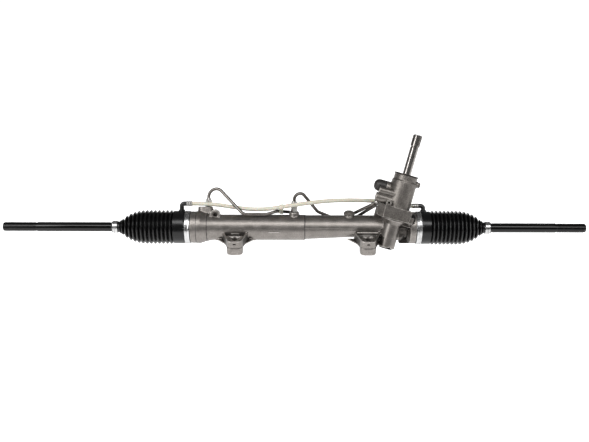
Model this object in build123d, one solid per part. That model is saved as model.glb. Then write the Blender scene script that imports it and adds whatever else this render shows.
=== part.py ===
from build123d import *
import math
import os

os.makedirs("parts", exist_ok=True)

# Sizes are in millimetres. The origin is midway between the two mounting bolt holes, on the
# faces that seat on the subframe. X runs along the rack, Y to the back, Z along the bolts.

# Mounting lugs
BOLT_SPACING = 248.0
LUG_BOLT_D = 10.5
LUG_HEIGHT = 27.0
LUG_REACH = 42.0
LUG_BOSS_WIDTH = 28.0
LUG_FOOT_WIDTH = 30.0
LUG_CORNER = 8.0
LUG_FOOT_HEIGHT = 9.5
LUG_SPOT_D = 20.0
LUG_BASE_WIDTH = 48.0
LUG_FLARE_WIDTH = 76.0
LUG_RIM = 2.6

# Rack, piston and travel to each side
RACK_D = 25.0
RACK_LENGTH = 559.0
TRAVEL = 70.0
PISTON_D = 38.6
PISTON_WIDTH = 14.0
PISTON_X = -97.0

# Housing along X
LEFT_END_LENGTH = 9.3
RIGHT_END_LENGTH = 15.8
BOOT_SEAT_D = 54.0
BOOT_SEAT_LENGTH = 11.0
END_RING_D = 60.0
END_RING_WIDTH = 11.0
COLLAR_D = 61.0
COLLAR_LENGTH = 30.0
COVE_LENGTH = 30.0
CYLINDER_D = 48.4
STEP_X = 7.0
SEAM = 1.0
REAR_DRUM_LENGTH = 19.0
UPPER_SHELL_D = 46.8
LOWER_SHELL_D = 44.8
LOWER_SHELL_THIN_D = 37.6
THIN_X = 85.0
CYLINDER_BORE_D = 39.0
PASSAGE_D = 28.0
END_BUSH_LENGTH = 27.7
CHAMBER_RIGHT = -8.0
INNER_SEAL_WIDTH = 12.0
END_BORE_D = 44.0
END_RING_INSET = 4.7
SEAL_D = 36.0
SEAL_WIDTH = 8.0
RUNNING = 0.05
SEATING = 0.3

# Core plug and bracket boss
PLUG_X = 90.0
PLUG_ANGLE = 12.0
PLUG_D = 21.0
PLUG_SEAT = 25.5
CORE_PLUG_RIBS = 14
BRACKET_TO_END = 57.0
BRACKET_HEIGHT = 24.5
BRACKET_HOLE_D = 6.8
BRACKET_HOLE_DEPTH = 12.0
BRACKET_MOUTH_D = 11.0
BRACKET_MOUTH_DEPTH = 2.0
BRACKET_FRONT = 14.0
BRACKET_DEPTH = 18.0

# Gear pair: the pinion leans along the rack and its teeth meet the rack's at an angle
PINION_X = 168.0
GEAR_TILT = 25.0
PINION_LEAN = 15.5
RACK_TOOTH_ANGLE = 10.0
PINION_TEETH = 8
MODULE = 1.9
PRESSURE_ANGLE = 20.0
PROFILE_SHIFT = 0.5
RACK_FLAT = 10.0
RACK_TEETH_LENGTH = 164.0
BACKLASH = 0.12
PINION_FACE = 28.0

# Pinion housing and valve tower, heights along the pinion axis from the rack's level
PINION_HOUSING_D = 32.5
PINION_HOUSING_BOTTOM = -37.0
PINION_BORE_CLEARANCE = 0.5
SPLIT_HEIGHT = 19.0
FLANGE_THICKNESS = 3.0
FLANGE_D = 46.0
EAR_THICKNESS = 8.0
BLOCK_TOP = 41.5
BLOCK_FRONT = 27.0
TOWER_D = 47.4
TOWER_SHOULDER = 92.0
TOWER_NECK_D = 43.6
TOWER_RIM_D = 45.6
TOWER_RIM_HEIGHT = 2.6
TOWER_TOP = 105.4
VALVE_BORE_D = 30.0
EYE_X = -20.0
EYE_HEIGHT = 46.3
EYE_D = 9.8
NUB_HEIGHT = 91.5
O_RING_D = 38.0
EAR_D = 15.0
EAR_TOP = 30.0
BOLT_SIZE = 8.0
BOLT_HEAD_AF = 12.0
BOLT_HEAD_HEIGHT = 7.0
EAR_PLACES = [(30.0, -6.0), (-27.0, 31.0)]

# Ports on the tower's left flank as (across, height), and the two pipe ports as (across, along)
UPPER_PORT = (4.0, 72.5)
UPPER_PORT_FACE_X = -30.5
BLIND_BOSS = (-14.0, 64.5)
LOWER_PORT = (-12.0, 51.0)
LOWER_PORT_D = 10.4
LOWER_PORT_DEPTH = 13.0
PORT_FACE_X = -46.0
PIPE_PORTS = [(6.0, 5.6), (17.5, 0.0)]
PIPE_PORT_X = -28.8
PIPE_PORT_HEIGHT = 42.0

# Bearings, seals and plugs of the gear
CAP_D = 25.0
CAP_SEAT = -31.5
LOWER_BEARING_D = 22.0
LOWER_BEARING_BORE = 10.0
LOWER_BEARING_WIDTH = 6.0
LOWER_BEARING_TOP = -16.0
UPPER_BEARING_D = 32.0
UPPER_BEARING_BORE = 17.0
UPPER_BEARING_WIDTH = 9.0
SHAFT_BEARING_D = 22.0
SHAFT_SHOULDER = 84.0
SEAL_SEAT = 96.0
SHAFT_SEAL_D = 34.0
SNAP_LOW = 102.2

# Shafts
INPUT_SHAFT_D = 15.8
SERRATION_D = 16.5
SERRATION_LENGTH = 22.0
INPUT_SHAFT_TIP = 181.0
NUT_LOW = -29.0
PINION_HEAD_R = 11.5
SLEEVE_LOW = 38.0
SLEEVE_HIGH = 82.0
SPOOL_JOURNAL_R = 5.8
SPOOL_LOW = 31.0
SPOOL_R = 9.8
TORSION_END_R = 3.0
TORSION_MIDDLE_R = 2.3
TORSION_LOW = 14.0
TORSION_HIGH = 172.0
TWIST_PIN_HEIGHT = 165.0

# Yoke, on the far side of the rack from the pinion
YOKE_D = 34.0
YOKE_LENGTH = 27.0
YOKE_BOSS_D = 52.0
YOKE_BOSS_FACE = 44.0
LINER = 1.0
SPRING_D = 18.0
PLUG_LOW = 34.0

# Ball joints and tie rods
BALL_D = 25.0
BALL_SHELL = 1.4
BALL_PLAY = 0.1
SOCKET_D = 36.0
SOCKET_FACE_TO_BALL = 24.0
SOCKET_MOUTH_ANGLE = 59.0
SOCKET_STUD_D = 14.0
SOCKET_STUD_LENGTH = 18.0
LOCK_WASHER = 1.5
ROD_D = 16.0
ROD_NECK_D = 12.4
LEFT_ROD_LENGTH = 260.0
RIGHT_ROD_LENGTH = 234.0
LEFT_THREAD_LENGTH = 63.0
RIGHT_THREAD_LENGTH = 55.0
LEFT_FLATS_LENGTH = 25.0
RIGHT_FLATS_LENGTH = 21.0
ROD_FLATS_AF = 13.0
THREAD_RELIEF_D = 14.4
THREAD_RELIEF = 2.0

# Boots and their clamps
BOOT_WALL = 3.0
BELLOWS_WALL = 1.8
BOOT_CUFF_D = 62.0
BELLOWS_D = 65.0
BELLOWS_SMALL_D = 38.0
BELLOWS_DEPTH = 4.6
BELLOWS_PITCH = 7.6
BELLOWS_STRAIGHT = 0.5
LEFT_CUFF_LENGTH = 22.0
RIGHT_CUFF_LENGTH = 17.5
BALL_TO_BELLOWS_END = 37.0
BOOT_SMALL_LENGTH = 17.0
BOOT_SMALL_D = 21.0
CLAMP_WIDTH = 9.0
CLAMP_THICKNESS = 1.2
SMALL_CLAMP_INSET = 6.5

# Cylinder pipes, ports and the balance hose
PIPE_D = 6.0
LEFT_PORT_TO_SEAL = 6.5
LEFT_PORT_ANGLE = 35.0
LEFT_PORT_TOP = 38.5
LEFT_NUT_TOP = 55.0
RIGHT_PORT_X = -13.5
RIGHT_PORT_ANGLE = 15.0
RIGHT_PORT_TOP = 40.5
RIGHT_NUT_TOP = 51.5
PIPE_NUT_AF = 11.0
PIPE_NUT_STEM_D = 9.0
PIPE_NUT_STEM = 7.0
VALVE_PORT_ANGLE = 44.0
VALVE_NUT_HEIGHT = 11.0
HOSE_D = 7.5
VENT_ARM_D = 8.6
VENT_ARM_LENGTH = 20.0
LEFT_VENT_GAP = 6.0
LEFT_VENT_ANGLE = 20.0
LEFT_VENT_RISE = 45.0
RIGHT_VENT_GAP = 5.0
RIGHT_VENT_ANGLE = 35.0
RIGHT_VENT_RISE = 41.5
HOSE_RUN_IN = 14.0
HOSE_RUN_OUT = 17.5

# Routes as seen from the front and above: (along, back from the view, up across the view)
VIEW = Rot(X=-30)
LEFT_PIPE_CLIMB = 94.4
PIPE_GAP = 2.1
TUBE_R = CYLINDER_D / 2
SHELL_R = UPPER_SHELL_D / 2
LEFT_PIPE = [
    (-109, -17, TUBE_R), (-66, -17, TUBE_R), (-46, -10, TUBE_R + 6.2), (-20, 10, TUBE_R + 4.8),
    (8, SHELL_R + PIPE_GAP, 14), (98, SHELL_R + PIPE_GAP, 15),
]
LEFT_PIPE_RADII = [15, 14, 20, 14, 16, 20, 14, 14]
RIGHT_PIPE_CLIMB = 85.5
RIGHT_PIPE = [(31, 6, SHELL_R + 6.6), (58, SHELL_R - 4.4, SHELL_R - 3.8), (84, SHELL_R - 3.4, SHELL_R - 4.4)]
RIGHT_PIPE_RADII = [11, 14, 14, 14, 14]
PIPE_RUN_OUT = 17.0
CLIP_START = -41.5
CLIP_END = -34.5
HOSE = [
    (-172, -8.6, 43.6), (-150, -7, 41.2), (-126, -3.2, 37.4), (-100, -8, 34.2),
    (-70, -13.5, 33.6), (-42, -19, 37.2), (-13, -22.5, 42.2), (16, -20, 46.2), (46, -12, 49.8), (78, -4, 51.6),
    (108, 3, 51.8), (136, 9, 51.0), (160, 11.5, 48.6), (180, 9.6, 44.4),
]


# The rack's axis and the frames that sit on it
RACK = Pos(0, LUG_REACH, LUG_HEIGHT)
GEAR = Pos(PINION_X, 0, 0) * Rot(X=-GEAR_TILT)
PARTING = Rot(X=-GEAR_TILT)
PINION_HELIX = PINION_LEAN + RACK_TOOTH_ANGLE
MODULE_ACROSS = MODULE / math.cos(math.radians(PINION_HELIX))
PITCH_R = PINION_TEETH * MODULE_ACROSS / 2
CENTRE_DISTANCE = RACK_FLAT - MODULE + PITCH_R + PROFILE_SHIFT * MODULE
TIP_R = PITCH_R + MODULE * (1 + PROFILE_SHIFT)
ROOT_R = PITCH_R - MODULE * (1.25 - PROFILE_SHIFT)
RACK_PITCH = math.pi * MODULE / math.cos(math.radians(RACK_TOOTH_ANGLE))
PINION = GEAR * Pos(0, -CENTRE_DISTANCE, 0) * Rot(Y=PINION_LEAN)
YOKE = GEAR * Rot(X=-90)
RACK_END = RACK_LENGTH / 2
SOCKET_FACE = RACK_END + LOCK_WASHER
BALL_X = SOCKET_FACE + SOCKET_FACE_TO_BALL
STOP_X = SOCKET_FACE - TRAVEL - SEATING
HOUSING_LEFT = -STOP_X - LEFT_END_LENGTH
HOUSING_RIGHT = STOP_X + RIGHT_END_LENGTH
END_RING_GROOVE = END_RING_INSET - STOP_X
CHAMBER_LEFT = END_BUSH_LENGTH - STOP_X
COLLAR_END = HOUSING_LEFT + COLLAR_LENGTH
COVE_END = COLLAR_END + COVE_LENGTH
LEFT_PORT_X = CHAMBER_LEFT + LEFT_PORT_TO_SEAL
BRACKET_X = HOUSING_LEFT + BRACKET_TO_END
BELLOWS_END = BALL_X + BALL_TO_BELLOWS_END
BOOT_END = BELLOWS_END + BOOT_SMALL_LENGTH
SMALL_CLAMP_CENTRE = BOOT_END - SMALL_CLAMP_INSET
LEFT_ROD_TIP = BALL_X + LEFT_ROD_LENGTH
RIGHT_ROD_TIP = BALL_X + RIGHT_ROD_LENGTH
RACK_GAPS = round(RACK_TEETH_LENGTH / RACK_PITCH)
LEFT_VENT = {
    "x": HOUSING_LEFT - LEFT_VENT_GAP, "angle": LEFT_VENT_ANGLE, "rise": LEFT_VENT_RISE,
    "arm_end": HOUSING_LEFT - LEFT_VENT_GAP + VENT_ARM_LENGTH,
}
RIGHT_VENT = {
    "x": HOUSING_RIGHT + RIGHT_VENT_GAP, "angle": RIGHT_VENT_ANGLE, "rise": RIGHT_VENT_RISE,
    "arm_end": HOUSING_RIGHT + RIGHT_VENT_GAP - VENT_ARM_LENGTH,
}
PINION_BORE_R = TIP_R + PINION_BORE_CLEARANCE


def turned_x(points):
    """A solid turned about the rack's axis from (x, radius) points."""
    return revolve(make_face(Polyline(*points, close=True)), Axis.X)


def turned_z(points):
    """A solid turned about Z from (radius, height) points."""
    return revolve(make_face(Plane.XZ * Polyline(*points, close=True)), Axis.Z)


def disc(diameter, low, high):
    """A cylinder on Z between two heights."""
    return Pos(0, 0, low) * Cylinder(diameter / 2, high - low, align=(Align.CENTER, Align.CENTER, Align.MIN))


def ring(outer, inner, low, high):
    return disc(outer, low, high) - disc(inner, low - 1, high + 1)


def hexagon(across_flats, low, high):
    """A hexagonal prism on Z between two heights."""
    outline = RegularPolygon(across_flats / 2, 6, major_radius=False)
    return Pos(0, 0, low) * extrude(outline, high - low)


def port_frame(x, angle):
    """Z points out of the rack's axis, leaning back from straight up by the angle."""
    return Pos(x, 0, 0) * Rot(X=-angle)


def mirrored(shape):
    return mirror(shape, about=Plane.YZ)


def point_in(frame, x, y, z):
    """A point given in a frame's own directions."""
    return (frame * Pos(x, y, z)).position


def bent_tube(points, radii, diameter):
    """A round tube along straight runs joined by arcs."""
    path = FilletPolyline(*points, radius=radii)
    return sweep(Plane(origin=path @ 0, z_dir=path % 0) * Circle(diameter / 2), path)


# Lug with its spot-faced boss, raised V rim and wide base plate
def lug(x):
    foot_bottom = -LUG_HEIGHT
    foot_top = foot_bottom + LUG_FOOT_HEIGHT
    reach = LUG_REACH - CYLINDER_D / 2 + 6
    boss_r = LUG_BOSS_WIDTH / 2
    foot_r = LUG_FOOT_WIDTH / 2
    side = LUG_CORNER - boss_r
    waist = Polygon(
        (-boss_r, side), (-LUG_BASE_WIDTH / 2, reach), (LUG_BASE_WIDTH / 2, reach), (boss_r, side), align=None
    )
    core = RectangleRounded(LUG_BOSS_WIDTH, LUG_BOSS_WIDTH, LUG_CORNER) + waist
    pad = RectangleRounded(LUG_FOOT_WIDTH, LUG_FOOT_WIDTH, LUG_CORNER)
    base = pad + Polygon(
        (-foot_r, 0), (-LUG_FLARE_WIDTH / 2, reach + 1), (LUG_FLARE_WIDTH / 2, reach + 1), (foot_r, 0), align=None
    )
    body = extrude(core, LUG_HEIGHT - LUG_FOOT_HEIGHT)
    rim = extrude(core - offset(core, -LUG_RIM), 1.8)
    plate = extrude(base, 4.0)
    foot = Pos(0, 0, foot_bottom) * extrude(pad, LUG_FOOT_HEIGHT)
    foot = chamfer(foot.edges().group_by(Axis.Z)[0], 1.5)
    shape = Pos(0, 0, foot_top) * body + Pos(0, 0, -0.01) * rim + Pos(0, 0, foot_top) * plate + foot
    shape -= disc(LUG_BOLT_D, foot_bottom - 1, 5)
    shape -= disc(LUG_SPOT_D, -0.8, 5)
    shape -= Pos(0, -boss_r - 1, -5) * Box(6, 6, 2.4, align=(Align.CENTER, Align.MIN, Align.CENTER))
    return Pos(x, -LUG_REACH, 0) * shape


# Outside of the one-piece housing, turned about the rack's axis
def housing_tube():
    ring_left = HOUSING_LEFT + BOOT_SEAT_LENGTH
    ring_right = HOUSING_RIGHT - BOOT_SEAT_LENGTH
    seat_r = BOOT_SEAT_D / 2
    tube_r = CYLINDER_D / 2
    drop = COLLAR_D / 2 - tube_r
    run = COVE_END - COLLAR_END
    cove_r = (run * run + drop * drop) / (2 * drop)
    half = math.asin(run / cove_r) / 2
    middle = (COVE_END - cove_r * math.sin(half), tube_r + cove_r * (1 - math.cos(half)))
    left = [
        Polyline(
            (STEP_X, 0), (HOUSING_LEFT, 0), (HOUSING_LEFT, seat_r), (ring_left, seat_r),
            (ring_left, END_RING_D / 2), (ring_left + END_RING_WIDTH, END_RING_D / 2),
            (ring_left + END_RING_WIDTH, COLLAR_D / 2), (COLLAR_END, COLLAR_D / 2),
        ),
        ThreePointArc((COLLAR_END, COLLAR_D / 2), middle, (COVE_END, tube_r)),
        Polyline((COVE_END, tube_r), (STEP_X, tube_r), (STEP_X, 0)),
    ]
    cylinder = revolve(make_face(Curve() + left), Axis.X)
    end_ring = turned_x([
        (ring_right - END_RING_WIDTH - 6, 0), (ring_right - END_RING_WIDTH - 6, UPPER_SHELL_D / 2),
        (ring_right - END_RING_WIDTH, END_RING_D / 2), (ring_right, END_RING_D / 2), (ring_right, seat_r),
        (HOUSING_RIGHT, seat_r), (HOUSING_RIGHT, 0),
    ])
    lower = turned_x([
        (STEP_X - 1, 0), (STEP_X - 1, LOWER_SHELL_D / 2), (STEP_X, LOWER_SHELL_D / 2),
        (THIN_X, LOWER_SHELL_THIN_D / 2), (ring_right - 1, LOWER_SHELL_THIN_D / 2), (ring_right - 1, 0),
    ])
    upper = turned_x([
        (STEP_X - 1, 0), (STEP_X - 1, UPPER_SHELL_D / 2), (ring_right - 1, UPPER_SHELL_D / 2), (ring_right - 1, 0),
    ])
    above = Box(RACK_LENGTH, COLLAR_D, COLLAR_D, align=(Align.CENTER, Align.CENTER, Align.MIN))
    upper = upper & (PARTING * above)
    drum_left = ring_right - END_RING_WIDTH - REAR_DRUM_LENGTH
    drum = turned_x([
        (drum_left, 0), (drum_left, END_RING_D / 2), (ring_right - 1, END_RING_D / 2), (ring_right - 1, 0),
    ])
    behind = Box(2 * REAR_DRUM_LENGTH, COLLAR_D, COLLAR_D, align=(Align.CENTER, Align.MIN, Align.CENTER))
    drum = drum & (VIEW * Pos(drum_left + REAR_DRUM_LENGTH, 2, 0) * behind)
    seams = [
        turned_x([
            (x - SEAM / 2, COLLAR_D / 2 + 1), (x - SEAM / 2, radius - SEAM / 2), (x + SEAM / 2, radius - SEAM / 2),
            (x + SEAM / 2, COLLAR_D / 2 + 1),
        ])
        for x, radius in ((ring_left + END_RING_WIDTH, END_RING_D / 2), (STEP_X, UPPER_SHELL_D / 2))
    ]
    return cylinder + lower + upper + end_ring + drum - seams


# Gear casing: pinion housing, flange under the valve tower and yoke boss
def gear_casing():
    foot = chamfer(
        disc(PINION_HOUSING_D, PINION_HOUSING_BOTTOM, SPLIT_HEIGHT).edges().group_by(Axis.Z)[0], 1.2
    )
    flange_low = SPLIT_HEIGHT - FLANGE_THICKNESS
    skirt = turned_z([
        (0, flange_low - 7), (PINION_HOUSING_D / 2, flange_low - 7), (FLANGE_D / 2, flange_low),
        (FLANGE_D / 2, SPLIT_HEIGHT), (0, SPLIT_HEIGHT),
    ])
    casing = PINION * (foot + skirt)
    ear_low = SPLIT_HEIGHT - EAR_THICKNESS
    for x, y in EAR_PLACES:
        toward = math.degrees(math.atan2(y, x))
        reach = math.hypot(x, y)
        web = Rot(Z=toward) * Pos(reach / 2, 0, ear_low) * Box(
            reach, EAR_D, EAR_THICKNESS, align=(Align.CENTER, Align.CENTER, Align.MIN)
        )
        casing += PINION * (Pos(x, y, 0) * disc(EAR_D, ear_low, SPLIT_HEIGHT) + web)
    drum = turned_x([
        (-27, 0), (-27, UPPER_SHELL_D / 2 - 2), (-22, YOKE_BOSS_D / 2 - 2), (20, YOKE_BOSS_D / 2 - 2),
        (25, UPPER_SHELL_D / 2 - 4), (25, 0),
    ])
    boss = chamfer(disc(YOKE_BOSS_D, 0, YOKE_BOSS_FACE).edges().group_by(Axis.Z)[-1], 1.5)
    rear = Box(COLLAR_D, COLLAR_D, COLLAR_D, align=(Align.CENTER, Align.MIN, Align.CENTER))
    drum_rear = (Pos(PINION_X, 0, 0) * drum) & (GEAR * Pos(0, -16, 0) * rear)
    return casing + drum_rear + YOKE * boss


def above_split():
    """The space that the valve housing and its bolts take above the split face."""
    space = disc(TOWER_D + 1, SPLIT_HEIGHT, 70) + Pos(0, 0, SPLIT_HEIGHT) * extrude(block_plan(), 30)
    for x, y in EAR_PLACES:
        toward = math.degrees(math.atan2(y, x))
        reach = math.hypot(x, y)
        space += Pos(x, y, 0) * disc(EAR_D + 2, SPLIT_HEIGHT, 55)
        space += Rot(Z=toward) * Pos(reach / 2, 0, SPLIT_HEIGHT) * Box(
            reach, EAR_D + 2, 30, align=(Align.CENTER, Align.CENTER, Align.MIN)
        )
    return PINION * space


def bracket_frame():
    """Z points to the front along the bracket boss, from its back."""
    back = Pos(0, BRACKET_DEPTH - BRACKET_FRONT, BRACKET_HEIGHT)
    return Pos(BRACKET_X, 0, 0) * PARTING * back * Rot(X=90)


# Bosses on the housing: two ports, a bracket boss and the seat of the core plug
def housing_bosses():
    wide = Pos(-11, 0, 0) * disc(18, 16, LEFT_PORT_TOP) + disc(18, 16, LEFT_PORT_TOP)
    wide += Pos(-11, 0, 16) * Box(11, 18, LEFT_PORT_TOP - 16, align=(Align.MIN, Align.CENTER, Align.MIN))
    left = port_frame(LEFT_PORT_X, LEFT_PORT_ANGLE) * wide
    cone = turned_z([(0, 20), (10.5, 20), (7.2, RIGHT_PORT_TOP), (0, RIGHT_PORT_TOP)])
    right = port_frame(RIGHT_PORT_X, RIGHT_PORT_ANGLE) * cone
    lug_block = bracket_frame() * (disc(19, 0, BRACKET_DEPTH) + Pos(0, -6.5, 0) * Box(
        19, 13, BRACKET_DEPTH, align=(Align.CENTER, Align.CENTER, Align.MIN)
    ))
    seat = port_frame(PLUG_X, PLUG_ANGLE) * disc(PLUG_D - 3, 16, PLUG_SEAT)
    return left + right + lug_block + seat


def housing_cuts():
    bores = turned_x([
        (HOUSING_LEFT - 1, 0), (HOUSING_LEFT - 1, END_BORE_D / 2), (CHAMBER_LEFT, END_BORE_D / 2),
        (CHAMBER_LEFT, CYLINDER_BORE_D / 2), (CHAMBER_RIGHT + INNER_SEAL_WIDTH, CYLINDER_BORE_D / 2),
        (CHAMBER_RIGHT + INNER_SEAL_WIDTH, PASSAGE_D / 2), (STOP_X, PASSAGE_D / 2),
        (STOP_X, END_BORE_D / 2), (HOUSING_RIGHT + 1, END_BORE_D / 2), (HOUSING_RIGHT + 1, 0),
    ])
    groove = turned_x([
        (END_RING_GROOVE - 1, 0), (END_RING_GROOVE - 1, END_BORE_D / 2 + 1), (END_RING_GROOVE + 1, END_BORE_D / 2 + 1),
        (END_RING_GROOVE + 1, 0),
    ])
    pinion_bore = PINION * turned_z([
        (0, PINION_HOUSING_BOTTOM - 4), (CAP_D / 2, PINION_HOUSING_BOTTOM - 4), (CAP_D / 2, CAP_SEAT),
        (LOWER_BEARING_D / 2, CAP_SEAT), (LOWER_BEARING_D / 2, LOWER_BEARING_TOP),
        (PINION_BORE_R, LOWER_BEARING_TOP), (PINION_BORE_R, SPLIT_HEIGHT + 1), (0, SPLIT_HEIGHT + 1),
    ])
    yoke_bore = YOKE * disc(YOKE_D, 0, YOKE_BOSS_FACE + 1)
    cuts = bores + groove + pinion_bore + yoke_bore
    for x, y in EAR_PLACES:
        cuts += PINION * Pos(x, y, 0) * disc(BOLT_SIZE, SPLIT_HEIGHT - 12, SPLIT_HEIGHT + 1)
    for frame, top in (
        (port_frame(LEFT_PORT_X, LEFT_PORT_ANGLE), LEFT_PORT_TOP),
        (port_frame(RIGHT_PORT_X, RIGHT_PORT_ANGLE), RIGHT_PORT_TOP),
    ):
        cuts += frame * (disc(PIPE_NUT_STEM_D, top - PIPE_NUT_STEM - 2, top + 1) + disc(4, 12, top))
    mouth_low = BRACKET_DEPTH - BRACKET_MOUTH_DEPTH
    cuts += bracket_frame() * disc(BRACKET_HOLE_D, BRACKET_DEPTH - BRACKET_HOLE_DEPTH, BRACKET_DEPTH)
    cuts += bracket_frame() * disc(BRACKET_MOUTH_D, mouth_low, BRACKET_DEPTH + 1)
    cuts += port_frame(PLUG_X, PLUG_ANGLE) * disc(9, 10, PLUG_SEAT + 1)
    return cuts


def rack_housing():
    shape = housing_tube() + gear_casing() + housing_bosses()
    for side in (-1, 1):
        shape += lug(side * BOLT_SPACING / 2)
    return shape - above_split() - housing_cuts()


# Parts of the cylinder's left end and the inner seal
def cylinder_end_bush():
    bore_r = RACK_D / 2 + RUNNING
    return turned_x([
        (-STOP_X, bore_r), (-STOP_X, END_BORE_D / 2 - RUNNING), (END_RING_GROOVE - 1, END_BORE_D / 2 - RUNNING),
        (END_RING_GROOVE - 1, END_BORE_D / 2 - 1.2), (END_RING_GROOVE + 1, END_BORE_D / 2 - 1.2),
        (END_RING_GROOVE + 1, END_BORE_D / 2 - RUNNING), (CHAMBER_LEFT, END_BORE_D / 2 - RUNNING),
        (CHAMBER_LEFT, SEAL_D / 2), (CHAMBER_LEFT - SEAL_WIDTH, SEAL_D / 2), (CHAMBER_LEFT - SEAL_WIDTH, bore_r),
    ])


def seal_profile(left, width, outer_r):
    """A lip seal on the rack: a U-shaped ring whose lip just meets the shaft."""
    inner_r = RACK_D / 2 + RUNNING
    middle = (inner_r + outer_r) / 2
    return turned_x([
        (left, inner_r + 1.0), (left + width * 0.3, inner_r), (left + width, inner_r + 0.6), (left + width, middle - 1),
        (left + width * 0.5, middle - 0.6), (left + width * 0.5, middle + 0.6), (left + width, middle + 1),
        (left + width, outer_r), (left, outer_r),
    ])


def outer_rack_seal():
    return seal_profile(CHAMBER_LEFT - SEAL_WIDTH, SEAL_WIDTH, SEAL_D / 2 - RUNNING)


def inner_rack_seal():
    flipped = mirrored(seal_profile(0, SEAL_WIDTH, CYLINDER_BORE_D / 2 - RUNNING))
    return Pos(CHAMBER_RIGHT + SEAL_WIDTH, 0, 0) * flipped


def inner_seal_washer():
    left = CHAMBER_RIGHT + SEAL_WIDTH
    right = CHAMBER_RIGHT + INNER_SEAL_WIDTH
    inner_r = RACK_D / 2 + RUNNING
    outer_r = CYLINDER_BORE_D / 2 - RUNNING
    return turned_x([(left, inner_r), (left, outer_r), (right, outer_r), (right, inner_r)])


def end_bush_ring():
    inner_r = END_BORE_D / 2 - 1.15
    outer_r = END_BORE_D / 2 + 0.9
    left = END_RING_GROOVE - 0.9
    right = END_RING_GROOVE + 0.9
    return turned_x([(left, inner_r), (left, outer_r), (right, outer_r), (right, inner_r)])


# Involute pinion section in the plane across its axis
def pinion_outline():
    across = math.atan(math.tan(math.radians(PRESSURE_ANGLE)) / math.cos(math.radians(PINION_HELIX)))
    base_r = PITCH_R * math.cos(across)
    involute = math.tan(across) - across
    thick = MODULE * (math.pi / 2 + 2 * PROFILE_SHIFT * math.tan(math.radians(PRESSURE_ANGLE)))
    half_pitch_angle = thick / math.cos(math.radians(PINION_HELIX)) / (2 * PITCH_R)

    def half_angle(radius):
        roll = math.acos(base_r / radius)
        return half_pitch_angle + involute - (math.tan(roll) - roll)

    def at(radius, angle):
        return (radius * math.sin(angle), radius * math.cos(angle))

    radii = [base_r + (TIP_R - base_r) * step / 4 for step in range(5)]
    radii[0] = base_r * 1.001
    root_half = half_angle(radii[0])
    edges = []
    for tooth in range(PINION_TEETH):
        turn = tooth * 2 * math.pi / PINION_TEETH
        following = turn + 2 * math.pi / PINION_TEETH
        rising = [at(radius, turn - half_angle(radius)) for radius in radii]
        falling = [at(radius, turn + half_angle(radius)) for radius in reversed(radii)]
        root_in = at(ROOT_R, turn - root_half)
        root_out = at(ROOT_R, turn + root_half)
        edges.append(Line(root_in, rising[0]))
        edges.append(Polyline(*rising))
        edges.append(Line(rising[-1], falling[0]))
        edges.append(Polyline(*falling))
        edges.append(Line(falling[-1], root_out))
        edges.append(Line(root_out, at(ROOT_R, following - root_half)))
    return make_face(Curve() + edges)


def pinion():
    twist = math.degrees(PINION_FACE * math.tan(math.radians(PINION_HELIX)) / PITCH_R)
    start = Pos(0, 0, -PINION_FACE / 2) * Rot(Z=-twist / 2) * pinion_outline()
    gear = Solid.extrude_linear_with_rotation(
        start.face(), (0, 0, -PINION_FACE / 2), (0, 0, PINION_FACE), twist
    )
    half_face = PINION_FACE / 2
    journal_r = LOWER_BEARING_BORE / 2
    shaft = turned_z([
        (0, NUT_LOW - 1), (journal_r - 0.4, NUT_LOW - 1), (journal_r - 0.4, LOWER_BEARING_TOP - LOWER_BEARING_WIDTH),
        (journal_r, LOWER_BEARING_TOP - LOWER_BEARING_WIDTH), (journal_r, LOWER_BEARING_TOP),
        (ROOT_R - 0.2, LOWER_BEARING_TOP + 0.5), (ROOT_R - 0.2, half_face + 1), (UPPER_BEARING_BORE / 2, SPLIT_HEIGHT),
        (UPPER_BEARING_BORE / 2, SPLIT_HEIGHT + UPPER_BEARING_WIDTH), (PINION_HEAD_R, SPLIT_HEIGHT + UPPER_BEARING_WIDTH),
        (PINION_HEAD_R, SLEEVE_LOW), (SPOOL_JOURNAL_R + RUNNING, SLEEVE_LOW),
        (SPOOL_JOURNAL_R + RUNNING, SPOOL_LOW - 1), (TORSION_END_R + RUNNING, SPOOL_LOW - 1),
        (TORSION_END_R + RUNNING, TORSION_LOW), (0, TORSION_LOW),
    ])
    return PINION * (gear + shaft)


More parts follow.
